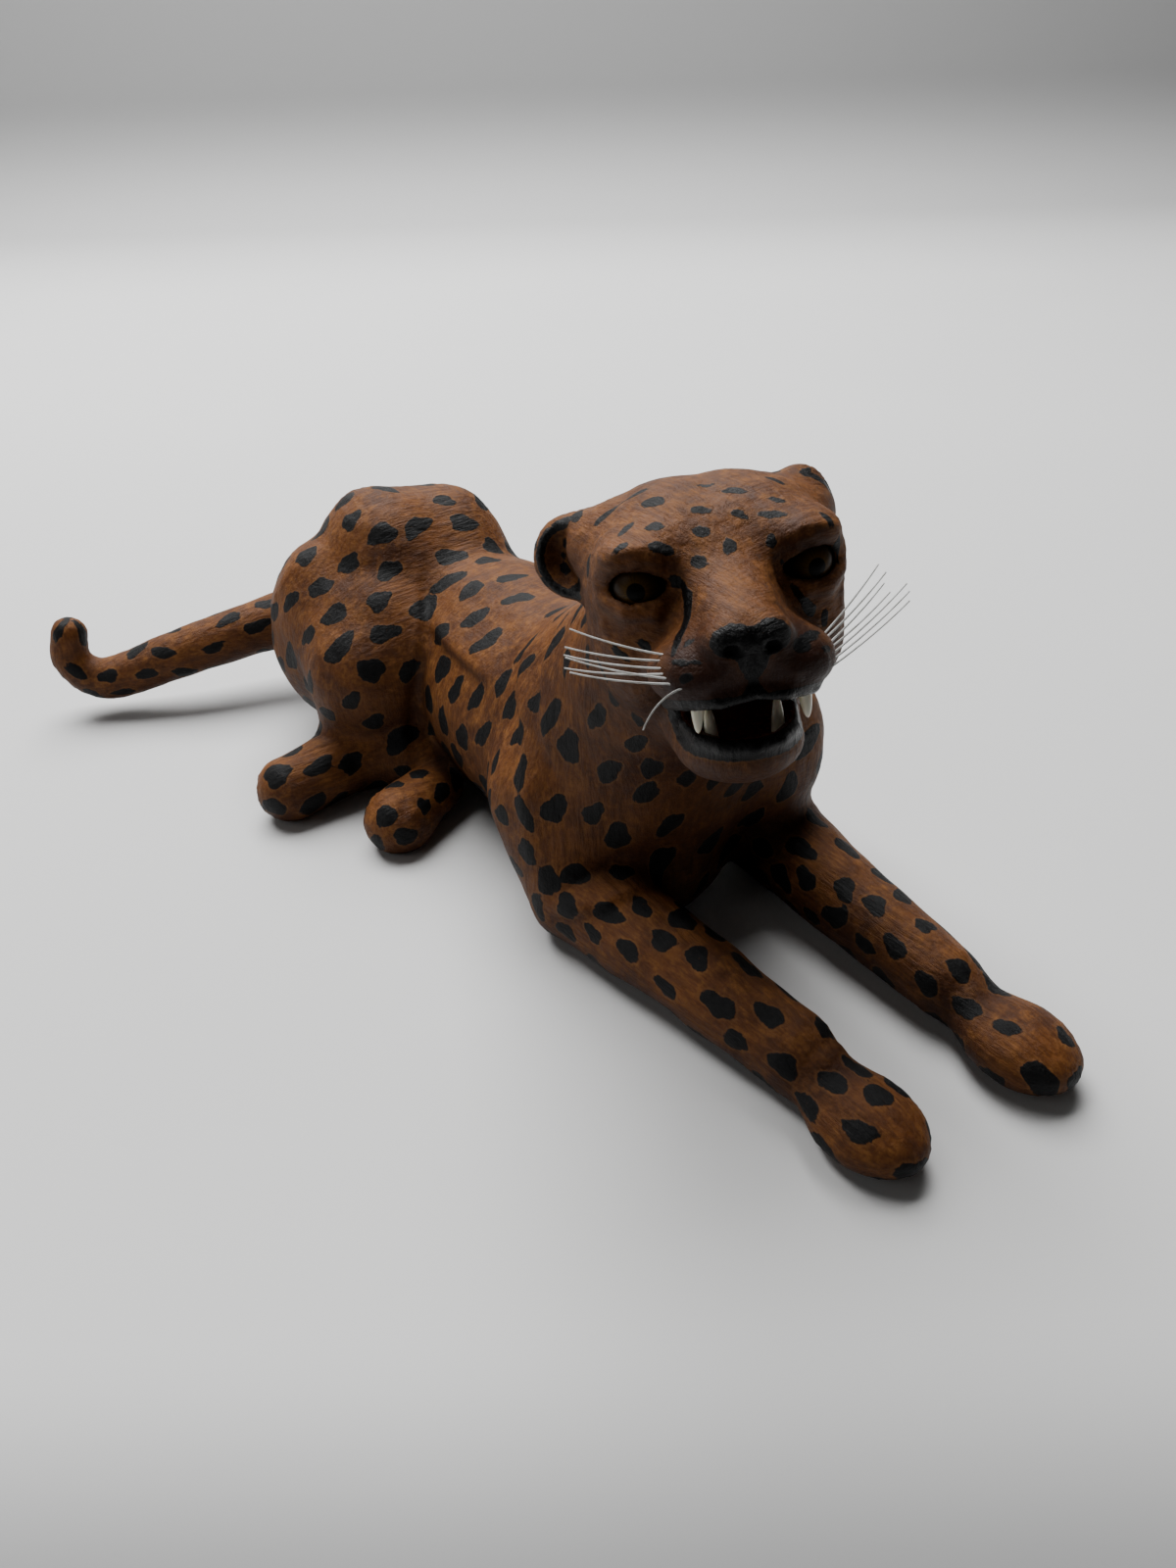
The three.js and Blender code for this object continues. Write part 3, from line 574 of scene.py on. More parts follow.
# The painter's spots on the face: middle and one end on the head's axes, and half width
FACE_SPOTS = [
    ((8, -13, 23), (9.3, -10.3, 22.5), 1.9), ((-1.4, -23.7, 20.7), (-0.4, -20.5, 22.8), 1.5),
    ((0.3, -16.2, 24.8), (1.3, -12.4, 25.6), 1), ((12.6, -20.3, 18.1), (11, -18.4, 19.6), 1.2),
    ((15.5, -14.2, 17.7), (15.9, -12.1, 17.5), 1.6), ((18.2, -22.1, 13.7), (18.1, -20, 14.8), 0.9),
    ((19.4, -14.1, 12.8), (19.3, -11.5, 11.7), 1.6), ((13.7, -3.4, 19.6), (14.1, -0.9, 19.2), 1.3),
    ((18, -4.4, 15.2), (18.5, -2.4, 14.9), 1.4), ((22.3, -6.2, 9.4), (23.8, -4.6, 8.7), 1.5),
    ((8.7, 5.2, 23.1), (9.8, 7.8, 22.5), 1.5), ((15.8, 4.7, 17.7), (16.5, 6.4, 16.9), 1.1),
    ((21.6, 0.7, 11.7), (20.2, 1.1, 13.5), 1.6), ((12.4, 14, 19.9), (12.7, 16, 19.4), 1.1),
    ((16.5, 11.7, 16.8), (17.3, 14.9, 16.2), 1.2), ((19.6, 10.1, 11.3), (19.1, 10.4, 12.9), 1.2),
    ((3.9, -0.2, 24.8), (4.4, 2, 24.9), 0.9), ((3.2, 16.2, 24), (4.7, 18.3, 22.6), 1.1),
    ((17.5, 23, 14.1), (18.2, 23.4, 12), 1.1), ((14.9, 25.5, 7.3), (14.3, 25.2, 4.3), 1.2),
    ((3.1, -29.4, 10.2), (4, -29.8, 7.2), 1.3), ((14, -24, -1), (13.6, -23.4, -4.4), 1.6),
    ((17.5, -18.6, -8.2), (19.5, -17.4, -9.6), 1.1), ((12, -22.9, -9.4), (14, -21.6, -11.4), 1.1),
    ((33.4, -11.8, -5.8), (34.1, -10.4, -5), 0.9), ((16.3, 21.8, -7.6), (16.8, 21, -9.6), 1.3),
    ((4, 27, -12), (3, 26, -15), 1.4), ((2, -27, -14), (2, -26, -17.5), 1.3),
    ((35.8, -14.4, -9.2), (37.1, -12.6, -9.5), 0.8), ((37.8, -13.7, -12.2), (38.3, -12.2, -11.9), 1.1),
    ((37.8, -11.2, -9.3), (38.5, -10, -9.5), 0.5), ((34.4, 13.8, -7.5), (31, 16.5, -8), 1.3),
    ((37.6, 10.8, -9.1), (37, 13.2, -9.8), 1.5), ((34.7, 16.9, -10.7), (33, 18.2, -11), 0.8),
]
for middle, end, half_width in FACE_SPOTS:
    middle, end = from_head(vec(*middle)[None])[0], from_head(vec(*end)[None])[0]
    i = int(np.argmin(length(points - middle)))
    half_length = float(np.linalg.norm(end - middle))
    way = unit((end - middle)[None])[0]
    near, distance = spot_distance(
        middle, way, normals[i], half_length, half_width, wobble_of(FACE_WOBBLE))
    spot[near] = np.minimum(spot[near], distance)

# Black paint round the mouth, nose, eyes and ears, as signed distances. On each lip it reaches
# from the edge of the mouth over the skin and a little way into the mouth.

NOSE_PAINT = ((40.5, 3.6, -5.4), (6, 4.9, 3.7))
GROOVE_PAINT = [(43, 0, -7), (42, 0, -11), (40, 0, -15), (39, 0, -19)]
RIGHT_TEAR = [(18, -13, 8), (20, -11.3, 5.6), (24.5, -10.2, 2.6), (26.6, -10.8, -1.4), (28.4, -12.8, -4.6),
              (33, -15, -8)]
LEFT_TEAR = [(20, 12, 7), (20.5, 13.4, 2), (20, 16.3, -2.3), (18.3, 18.3, -5)]
LIP_MIDDLE = -24
LIP_CORNER = 4  # along the head, where the paint of the lips begins
UPPER_LIP_PAINT, LOWER_LIP_PAINT = (1.6, 2.6), (3.2, 3)
RIGHT_RIM, LEFT_RIM = (1.7, 26.5), (1.6, 23)  # width, and how far off the head's middle it ends


def closed_muzzle(m):
    """How far a point is from the muzzle with its mouth shut; deep in the mouth it is negative."""
    return blend(
        ellipsoid(m, *MUZZLE),
        (5, ellipsoid(m, *WHISKER_PAD)),
        (4, ellipsoid(m, *CHIN)),
        (4, limb(m, *BRIDGE)),
        (6, ellipsoid(m, (16, 0, -24), (22, 16, 12))),
    )


mouth_depth = -closed_muzzle(in_half)
off_mouth = mouth(in_half)
upper = in_head[:, 2] > LIP_MIDDLE
lip_width, lip_depth = (np.where(upper, *pair) for pair in zip(UPPER_LIP_PAINT, LOWER_LIP_PAINT))
lip = np.maximum(off_mouth - lip_width, mouth_depth - lip_depth)
lip = np.maximum(lip, LIP_CORNER - in_head[:, 0])


def ear_rim(form, cup, tilt, width, inner_end):
    """Paint along the rim of an ear, from the given distance off the middle of the head outward."""
    rim = np.hypot(ellipsoid(in_head, *form, tilt), ellipsoid(in_head, *cup, tilt)) - width
    return np.maximum(rim, inner_end - in_half[:, 1])


paint = np.minimum.reduce([
    ellipsoid(in_half, *NOSE_PAINT),
    limb(in_half, GROOVE_PAINT, [4.6, 3, 1.4, 3.6]),
    limb(in_head, RIGHT_TEAR, [0.8, 1.3, 1.7, 1.6, 1.4, 0.8]),
    limb(in_head, LEFT_TEAR, [0.5, 0.7, 0.9, 1.6]),
    ellipsoid(in_half, *EYE_SLIT) + 0.1,
    lip,
    np.where(in_head[:, 1] < 0, ear_rim(*RIGHT_EAR, *RIGHT_RIM), ear_rim(*LEFT_EAR, *LEFT_RIM)),
])
LINING_DEPTH = 3
lining = np.minimum(mouth_depth - LINING_DEPTH, 3 - off_mouth * 4)

# Painted shade in recesses and on the forelegs, with less of it near the eyes and in the right ear's cup,
# and the deep stain of the muzzle: each closeness has a middle, the radius where it is full and the
# distance over which it fades

NEAR_REACH, FAR_REACH = 2.5, 7  # how far out of the skin a recess is felt
# painted shade added on the forelegs
LEG_SHADE = 0.2


def recess_shade_at(reach):
    return np.clip(1 - figure(points + normals * REAL(reach)) / reach, 0, 1)


def closeness(rows, middle, radius, fade):
    return np.exp(-np.maximum(length(rows - vec(*middle)) - radius, 0) / fade)


near_eye = closeness(in_half, EYE_PLACE, 9, 3)
near_cup = closeness(in_head, RIGHT_CUP_MIDDLE, 8, 3)
front_legs = np.clip(shares["right_foreleg"] + shares["left_foreleg"], 0, 1)
# Painted shade: recesses of the form darkened like ambient occlusion, and the forelegs darker
recess = (recess_shade_at(NEAR_REACH) + recess_shade_at(FAR_REACH)) / 2
recess = recess * (1 - 0.75 * near_eye) * (1 - 0.6 * near_cup)
recess = np.clip(recess + LEG_SHADE * front_legs, 0, 1)
muzzle_stain = closeness(in_half, (34, 9, -13), 8, 4)

# Unevenness of the hide


def noise_field(size, seed, stretch=0.0):
    """Smooth noise; stretched along the flow of the hide."""
    places = points / size
    if stretch:
        places = places - (np.einsum("ij,ij->i", places, flow) * stretch)[:, None] * flow
    return np.array([noise.noise(Vector((x + seed, y, z))) for x, y, z in places.tolist()], REAL)


# Folds of the hide: a line, the side that stands proud, its height, the width of the step and
# how far it runs out, all in millimetres
FOLDS = [
    ([(-20, 58, 84), (-24, 53, 75), (-29, 43, 67), (-33, 38, 58), (-39, 38, 46), (-44, 37, 30),
      (-47, 36, 16)], (-0.3, 1, 0), 2, 1.3, 10),
    ([(-27, 46, 68), (-30, 37, 65), (-31, 24, 64), (-32, 10, 64), (-33, -6, 64), (-35, -15, 62)],
     (0.3, 0, 1), 1.5, 1.3, 8),
    ([(-19, -12, 80), (-30, -21, 76), (-37, -31, 71), (-42, -40, 64), (-48, -46, 53), (-50, -49, 42),
      (-51, -48, 31)], (0, -1, 0.2), 1.2, 1.8, 11),
    ([(-17, -36, 98), (-30, -42, 84), (-39, -50, 68), (-40, -60, 56)], (0, -1, 0.2), 1.2, 1.5, 8),
    ([(-50, -60, 14), (-49, -66, 17), (-45, -74, 22), (-40, -79, 25), (-32, -81, 28), (-22, -78, 28)],
     (0, 0.7, 0.7), 1.3, 1.2, 8),
    ([(14, -74, 24), (20, -79, 29), (27, -84, 32), (33, -92, 28), (36, -100, 22)],
     (0, 0.7, 0.7), 0.8, 1.2, 8),
    ([(-30, -150, 16), (-22, -151, 19), (-14, -148, 12)], (0, -1, 0), 0.5, 1, 5),
    ([(18, -156, 14), (26, -157, 19), (35, -154, 14)], (0, -1, 0), 0.5, 1, 5),
    ([(-66, 66, 20), (-66, 57, 22), (-65, 49, 18)], (-1, 0, 0), 0.6, 1.1, 5),
    ([(-20, 128, 47), (-16, 130, 40), (-14, 127, 28)], (0.6, -0.7, 0), 0.6, 1.2, 6),
    ([(2, -60, 86), (14, -66, 80), (24, -74, 66), (27, -80, 52)], (0, -1, 0.2), 0.7, 1.8, 9),
    ([(36, -10, 70), (41, -24, 60), (44, -36, 48), (44, -44, 34)], (0, -1, 0.2), 0.8, 2, 12),
]


def on_skin(line, steps=4):
    """A finer line through the same places, laid on the skin."""
    line = np.array(line, REAL)
    fine = [a + (b - a) * REAL(k / steps) for a, b in zip(line, line[1:]) for k in range(steps)]
    fine = np.array([*fine, line[-1]], REAL)
    for _ in range(4):
        fine = onto_skin(figure, fine, 5)
    return fine


def fold_height(line, proud_side, height, step_width, reach):
    line, proud_side = on_skin(line), unit(vec(*proud_side)[None])[0]
    nearest = np.full(len(points), np.inf, REAL)
    signed = np.zeros(len(points), REAL)
    fade = np.zeros(len(points), REAL)
    run = np.concatenate([[0], np.cumsum(length(line[1:] - line[:-1]))])
    for n, (a, b) in enumerate(zip(line, line[1:])):
        t, offset = from_stretch(points, a, b)
        d = length(offset)
        closer = d < nearest
        nearest[closer] = d[closer]
        signed[closer] = (offset @ proud_side)[closer]
        along = (run[n] + t * (run[n + 1] - run[n])) / run[-1]
        fade[closer] = np.clip(np.minimum(along, 1 - along) * 4, 0, 1)[closer]
    side = np.clip(signed / np.maximum(nearest, 0.3), -1, 1) * np.tanh(nearest / step_width)
    return height * side * np.exp(-((nearest / reach) ** 2)) * fade


# Creases of the face, written for the right side and repeated on the left: a line on the head's
# axes, the side that stands proud, its height, the width of the step and how far it runs out
FACE_FOLDS = [
    ([(8, -23.4, 7), (17, -22, 9.8), (20, -17.3, 10.6), (20.3, -12.5, 8.8), (22.4, -9.4, 6.4)],
     (0, 0, 1), 0.7, 0.5, 3),
    ([(15, -25.9, 10), (18.5, -23, 12.6), (20.9, -17, 13.1), (20.5, -10.9, 9.6), (22.6, -8.2, 7.8)],
     (0, 0, 1), 0.4, 0.5, 2.5),
    ([(16.5, -23.5, 2.6), (19, -19.5, 0.6), (19.7, -15, 0.8), (20.5, -11.6, 2)],
     (0, 0, 1), 0.55, 0.5, 2.6),
    ([(17, -23.5, -1.2), (19.6, -18, -1.9), (20.4, -13.6, -1)], (0, 0, 1), 0.45, 0.5, 2.4),
    ([(15.5, -22.9, -4.2), (18.2, -18.7, -4.9), (20.8, -14, -3.8)], (0, 0, 1), 0.4, 0.5, 2.4),
    ([(12, -26.5, 8), (10.5, -27, 1), (12, -25.6, -6), (20, -21, -13)], (-1, 0, 0), 0.4, 0.9, 4),
    ([(31, -13.6, -5.6), (34.4, -15.8, -9), (34.8, -17, -12.9), (34.6, -16.2, -16)],
     (1, 0, 0), 0.3, 0.5, 2.5),
    ([(37, -9.6, -15.8), (39, -6, -12.6), (40.6, -3.6, -10.4)], (0, -1, 0), 0.45, 0.5, 2.6),
    ([(24, -8.7, 7), (30, -8.4, 2.4), (35.6, -8.4, -0.8)], (0, 1, 0.3), 0.35, 0.9, 3.5),
]


def both_sides(line, proud_side, *profile):
    for side in (1, -1):
        flip = np.array((1, side, 1), REAL)
        yield from_head(np.array(line, REAL) * flip), (vec(*proud_side) * flip) @ AXES.T, *profile


folds = sum(fold_height(*fold) for fold in FOLDS)
folds = folds + sum(fold_height(*fold) for face_fold in FACE_FOLDS for fold in both_sides(*face_fold))

smooth_part = np.clip((in_half[:, 0] - 8) / 12, 0, 1) * (shares["head"] > 0.5)
feet = np.clip(shares["left_hind_foot"] + shares["right_hind_foot"], 0, 1)
uneven = 0.55 * noise_field(12, 5) + (0.25 + 0.35 * feet) * noise_field(6, 9, 0.6)
height = uneven * (1 - 0.6 * smooth_part) + folds
clear_of_floor = np.clip(points[:, 2] / 3, 0, 1)
points = points + normals * (height * clear_of_floor)[:, None]

# Pieces


def mesh_object(name, verts, polygons, material):
    """A smooth piece, from corners in metres."""
    mesh = bpy.data.meshes.new(name)
    mesh.from_pydata(verts, [], polygons)
    mesh.materials.append(material)
    mesh.polygons.foreach_set("use_smooth", [True] * len(mesh.polygons))
    piece = bpy.data.objects.new(name, mesh)
    bpy.context.scene.collection.objects.link(piece)
    return piece


def polygon_mesh(name, verts, polygons, material):
    """A smooth piece, from corners in millimetres."""
    return mesh_object(name, [Vector(v) * MM for v in verts], polygons, material)


def add_attribute(piece, name, data):
    data = np.asarray(data, REAL)
    kind = "FLOAT" if data.ndim == 1 else "FLOAT_VECTOR"
    layer = piece.data.attributes.new(name, kind, "POINT")
    layer.data.foreach_set("value" if data.ndim == 1 else "vector", data.ravel())


def ride(piece, node):
    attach(piece, "root")
    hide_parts(node)


class Shader:
    """A material and short names for its nodes."""

    COLOURS = (6, 7)  # the colour sockets of a mix node

    def __init__(self, name):
        self.material = bpy.data.materials.new(name)
        self.material.use_nodes = True
        self.tree = self.material.node_tree
        self.surface = self.tree.nodes["Principled BSDF"]

    def node(self, kind, inputs=None, **settings):
        node = self.tree.nodes.new(kind)
        for key, value in settings.items():
            setattr(node, key, value)
        for key, value in (inputs or {}).items():
            self.put(node.inputs[key], value)
        return node

    def put(self, socket, value):
        if isinstance(value, bpy.types.NodeSocket):
            self.tree.links.new(value, socket)
        else:
            socket.default_value = value

    def set(self, **inputs):
        for key, value in inputs.items():
            self.put(self.surface.inputs[key.replace("_", " ")], value)

    def attribute(self, name, output="Fac"):
        return self.node("ShaderNodeAttribute", attribute_name=name).outputs[output]

    def math(self, operation, *values):
        return self.node("ShaderNodeMath", dict(enumerate(values)), operation=operation).outputs[0]

    def range(self, value, low, high, to_low=0.0, to_high=1.0):
        inputs = {"Value": value, "From Min": low, "From Max": high,
                  "To Min": to_low, "To Max": to_high}
        return self.node("ShaderNodeMapRange", inputs, interpolation_type="SMOOTHSTEP").outputs[0]

    def mix(self, share, first, second):
        node = self.node("ShaderNodeMix", data_type="RGBA")
        self.put(node.inputs[0], share)
        for socket, value in zip(self.COLOURS, (first, second)):
            self.put(node.inputs[socket], value)
        return node.outputs[2]

    def axes(self, vector):
        return self.node("ShaderNodeSeparateXYZ", {"Vector": vector}).outputs

    def place(self):
        return self.node("ShaderNodeTexCoord").outputs["Object"]

    def noise(self, size, stretch=(1, 1, 1), detail=3.0, roughness=0.55, distortion=0.0):
        """Noise with features of about this size in metres, drawn out along an axis."""
        scale = tuple(1 / (size * s) for s in stretch)
        mapped = self.node("ShaderNodeMapping", {"Vector": self.place(), "Scale": scale}).outputs[0]
        inputs = {"Vector": mapped, "Scale": 1.0, "Detail": detail, "Roughness": roughness,
                  "Distortion": distortion}
        return self.node("ShaderNodeTexNoise", inputs).outputs["Fac"]

    def bump(self, height, distance, strength, normal=None):
        inputs = {"Height": height, "Distance": distance, "Strength": strength}
        if normal is not None:
            inputs["Normal"] = normal
        return self.node("ShaderNodeBump", inputs).outputs["Normal"]


def colour(red, green, blue):
    """A display colour of 0 to 255, as the linear colour of a shader."""
    shares = [c / 255 for c in (red, green, blue)]
    return (*[c / 12.92 if c <= 0.04 else ((c + 0.055) / 1.055) ** 2.4 for c in shares], 1.0)


TAN, DEEP_TAN, PALE_TAN = colour(115, 69, 31), colour(74, 41, 19), colour(134, 86, 42)
# Of these, the plain red-brown is painted shade, laid in recesses, on the forelegs and on undersides
STREAK, SHADE_BROWN, MUZZLE_BROWN = colour(62, 31, 11), colour(34, 13, 5), colour(34, 11, 5)
CRACK_BROWN, HALO = colour(36, 16, 8), colour(132, 92, 52)
INK, WORN_INK = colour(8, 8, 9), colour(17, 17, 17)
LINING_RED, LINING_BROWN = colour(104, 44, 22), colour(70, 28, 15)


def along_flow(s, flow_share, size, stretch, **settings):
    """Noise drawn out along the nearest axis of the hide's flow."""
    total = None
    for axis in range(3):
        fine = s.noise(size, [stretch if n == axis else 1 for n in range(3)], detail=5, **settings)
        part = s.math("MULTIPLY", fine, flow_share[axis])
        total = part if total is None else s.math("ADD", total, part)
    return total


def leather():
    s = Shader("painted_leather")
    spots, black = s.attribute("spot"), s.attribute("paint")
    inside, painted_shade, stain = s.attribute("lining"), s.attribute("recess"), s.attribute("stain")
    flow_share = s.axes(s.attribute("grain", "Vector"))
    streaks = along_flow(s, flow_share, 0.0015, 7, roughness=0.7)
    lines = along_flow(s, flow_share, 0.006, 4, roughness=0.6, distortion=0.6)
    off_line = s.math("ABSOLUTE", s.math("SUBTRACT", lines, 0.5))
    patches = s.range(s.noise(0.03, detail=2), 0.5, 0.62)
    crack = s.math("MULTIPLY", s.range(off_line, 0.0, 0.008, 1.0, 0.0), patches)
    blotches = s.noise(0.022, detail=4, roughness=0.6)
    mottle = s.noise(0.0045, detail=5, roughness=0.7)

    tan = s.mix(s.range(blotches, 0.35, 0.68), TAN, DEEP_TAN)
    tan = s.mix(s.range(mottle, 0.4, 0.75), tan, PALE_TAN)
    tan = s.mix(s.range(streaks, 0.42, 0.6, 0.0, 0.55), tan, STREAK)
    # Painted shade: darker red-brown in recesses and on the forelegs
    tan = s.mix(s.range(painted_shade, 0.15, 0.7, 0.0, 0.85), tan, SHADE_BROWN)
    # Painted shade: surfaces that face down are darker red-brown
    facing_up = s.axes(s.node("ShaderNodeNewGeometry").outputs["Normal"])[2]
    tan = s.mix(s.range(facing_up, -0.7, 0.5, 0.75, 0.0), tan, SHADE_BROWN)
    tan = s.mix(s.math("MULTIPLY", stain, 0.85), tan, MUZZLE_BROWN)
    tan = s.mix(s.math("MULTIPLY", crack, 0.25), tan, CRACK_BROWN)

    # Paint: ragged along the grain, with a paler line round each spot
    rag = s.math("MULTIPLY", s.math("SUBTRACT", s.noise(0.0016, detail=3), 0.5), 1.1)
    to_spot = s.math("ADD", spots, rag)
    to_black = s.math("ADD", black, rag)
    edge = s.math("MINIMUM", to_spot, to_black)
    halo = s.math("MULTIPLY", s.range(edge, 0.0, 0.12), s.range(edge, 0.3, 0.75, 1.0, 0.0))
    halo = s.math("MULTIPLY", halo, s.range(stain, 0.0, 0.5, 0.18, 0.0))
    base = s.mix(halo, tan, HALO)
    ink = s.mix(s.range(mottle, 0.45, 0.7), INK, WORN_INK)
    painted = s.range(edge, -0.15, 0.12, 1.0, 0.0)
    worn = s.range(s.noise(0.0009, detail=2), 0.7, 0.78, 1.0, 0.35)
    base = s.mix(s.math("MULTIPLY", painted, worn), base, ink)
    in_mouth = s.range(inside, -0.3, 0.5)
    base = s.mix(in_mouth, base, s.mix(blotches, LINING_RED, LINING_BROWN))

    rough = s.range(mottle, 0.3, 0.8, 0.5, 0.66)
    lips = s.range(to_black, -0.4, 0.1, 1.0, 0.0)
    rough = s.math("MULTIPLY_ADD", lips, -0.22, rough)
    rough = s.math("MULTIPLY_ADD", stain, -0.08, rough)
    rough = s.math("MULTIPLY_ADD", in_mouth, -0.3, rough)
    normal = s.bump(streaks, 0.0008, 0.9)
    normal = s.bump(mottle, 0.0008, 0.5, normal)
    normal = s.bump(lines, 0.0016, 0.45, normal)
    normal = s.bump(s.math("MULTIPLY", crack, -1), 0.0004, 0.5, normal)
    normal = s.bump(painted, 0.0001, 0.6, normal)
    s.set(Base_Color=base, Roughness=rough, Normal=normal, Specular_IOR_Level=0.16)
    return s.material


skin = mesh_object("leather_skin", (points * MM).tolist(), faces.tolist(), leather())
for name, data in (("spot", spot), ("paint", paint), ("lining", lining), ("recess", recess),
                   ("stain", muzzle_stain), ("grain", flow * flow)):
    add_attribute(skin, name, data)
ride(skin, "leather_body")

# Eyes


def eye_material():
    s = Shader("glass_eye")
    x, y, _ = s.axes(s.place())
    square = s.math("ADD", s.math("MULTIPLY", x, x), s.math("MULTIPLY", y, y))
    off_axis = s.math("DIVIDE", s.math("SQRT", square), MM)
    angle = s.math("ARCTAN2", y, x)
    around = {"W": s.math("MULTIPLY", angle, 4.0), "Scale": 2.0, "Detail": 4.0}
    spokes = s.node("ShaderNodeTexNoise", around, noise_dimensions="1D").outputs["Fac"]
    iris = s.mix(s.range(off_axis, 1.8, 4.8), colour(84, 60, 20), colour(46, 29, 11))
    iris = s.mix(s.range(spokes, 0.35, 0.7, 0.0, 0.5), iris, colour(36, 22, 8))
    base = s.mix(s.range(off_axis, 1.9, 2.3), colour(2, 2, 2), iris)
    base = s.mix(s.range(off_axis, 4.6, 5.4), base, colour(14, 9, 6))
    ripple = s.bump(s.noise(0.004, detail=1), 0.0001, 0.3)
    s.set(Base_Color=base, Roughness=0.45, Specular_IOR_Level=0.08, Coat_Weight=0.06,
          Coat_Roughness=0.04, Normal=ripple)
    return s.material


EYE_SEGMENTS, EYE_RINGS = 64, 40
EYE_TURN = {"right": (10, -14), "left": (10, 14)}  # down and outward from straight ahead
glass = eye_material()


def ball(radius):
    verts = [(0, 0, radius)]
    for ring in range(1, EYE_RINGS):
        polar = math.pi * ring / EYE_RINGS
        for n in range(EYE_SEGMENTS):
            turn_by = 2 * math.pi * n / EYE_SEGMENTS
            verts.append((radius * math.sin(polar) * math.cos(turn_by),
                          radius * math.sin(polar) * math.sin(turn_by), radius * math.cos(polar)))
    verts.append((0, 0, -radius))
    last = len(verts) - 1
    polygons = []
    for n in range(EYE_SEGMENTS):
        m = (n + 1) % EYE_SEGMENTS
        polygons.append((0, 1 + n, 1 + m))
        for ring in range(EYE_RINGS - 2):
            a = 1 + ring * EYE_SEGMENTS
            polygons.append((a + n, a + EYE_SEGMENTS + n, a + EYE_SEGMENTS + m, a + m))
        a = 1 + (EYE_RINGS - 2) * EYE_SEGMENTS
        polygons.append((a + n, last, a + m))
    return verts, polygons


for side_name, side in SIDES:
    eye = polygon_mesh(f"eye_{side_name}", *ball(EYE_RADIUS), glass)
    down, outward = EYE_TURN[side_name]
    gaze = from_head(vec(1, math.tan(math.radians(outward)), -math.tan(math.radians(down)))[None])[0]
    gaze = Vector((gaze - vec(*HEAD_CENTRE)).tolist())
    middle = from_head(vec(EYE_PLACE[0], side * EYE_PLACE[1], EYE_PLACE[2])[None])[0]
    turned = gaze.to_track_quat("Z", "Y").to_matrix().to_4x4()
    eye.matrix_world = Matrix.Translation(Vector(middle.tolist()) * MM) @ turned
    ride(eye, f"glass_eye_{side_name}")

# Teeth: gum place and direction on the head's axes, length past the gum, and how far the
# pair stands off the middle, to the animal's left

TEETH = {
    "upper_canine": ((31, 11.65, -19), (0, 0.06, -1), 7.2, 0.65),
    "lower_canine": ((24, 7.5, -29.6), (0, 0.04, 1), 8, -0.1),
}
TOOTH_RADIUS, LEAST_RADIUS = 1.6, 0.05
TOOTH_ROOT = 4
TOOTH_BEND = vec(-0.5, 0, 0)  # of the tip, backward
TOOTH_RINGS, TOOTH_SEGMENTS = 28, 32


def tooth_material():
    s = Shader("ivory")
    depth = s.noise(0.004, (1, 1, 3), detail=3)
    base = s.mix(s.range(depth, 0.35, 0.7), colour(222, 217, 196), colour(196, 186, 152))
    normal = s.bump(s.noise(0.0009, (1, 1, 5), detail=2), 0.0001, 0.4)
    s.set(Base_Color=base, Roughness=0.22, Normal=normal, Coat_Weight=0.4, Subsurface_Weight=0.15,
          Subsurface_Scale=0.001)
    return s.material


def tooth_radius(t, tip):
    """Half width at a distance past the gum: a full neck that draws in to a blunt point."""
    if t < 0:
        return TOOTH_RADIUS * (1 - 0.2 * min(-t / TOOTH_ROOT, 1))
    share = t / tip
    return TOOTH_RADIUS * math.sqrt(max(1 - share**2.2, 0)) * (1 - 0.18 * share)


def tube(centres, radii, segments):
    """Rings round a line of points, closed at both ends."""
    centres = [Vector(c) for c in centres]
    verts, polygons = [], []
    side = None
    for i, (centre, radius) in enumerate(zip(centres, radii)):
        ahead = centres[min(i + 1, len(centres) - 1)] - centres[max(i - 1, 0)]
        ahead.normalize()
        side = ahead.orthogonal() if side is None else side - ahead * side.dot(ahead)
        side.normalize()
        other = ahead.cross(side)
        for n in range(segments):
            around = 2 * math.pi * n / segments
            verts.append(centre + (side * math.cos(around) + other * math.sin(around)) * radius)
    for i in range(len(centres) - 1):
        for n in range(segments):
            m = (n + 1) % segments
            a, b = i * segments, (i + 1) * segments
            polygons.append((a + n, a + m, b + m, b + n))
    polygons.append(tuple(range(segments))[::-1])
    polygons.append(tuple(range(len(verts) - segments, len(verts))))
    return verts, polygons


ivory = tooth_material()
for name, (gum, way, tip, shift) in TEETH.items():
    for side_name, side in SIDES:
        start = vec(gum[0], side * gum[1] + shift, gum[2])
        ahead = vec(way[0], side * way[1], way[2])
        ahead /= np.linalg.norm(ahead)
        steps = [-TOOTH_ROOT + (tip + TOOTH_ROOT) * n / TOOTH_RINGS for n in range(TOOTH_RINGS + 1)]
        hook = [TOOTH_BEND * max(t / tip, 0) ** 2 for t in steps]
        line = [start + ahead * t + bend for t, bend in zip(steps, hook)]
        centres = [from_head(place[None])[0].tolist() for place in line]
        radii = [max(tooth_radius(t, tip), LEAST_RADIUS) for t in steps]
        tooth = polygon_mesh(f"{name}_{side_name}_tooth", *tube(centres, radii, TOOTH_SEGMENTS), ivory)
        ride(tooth, f"{name}_{side_name}")

# Whiskers: for each side the place of the hindmost root along the head, and the rows from the top
# down, with the lift of each hair in degrees

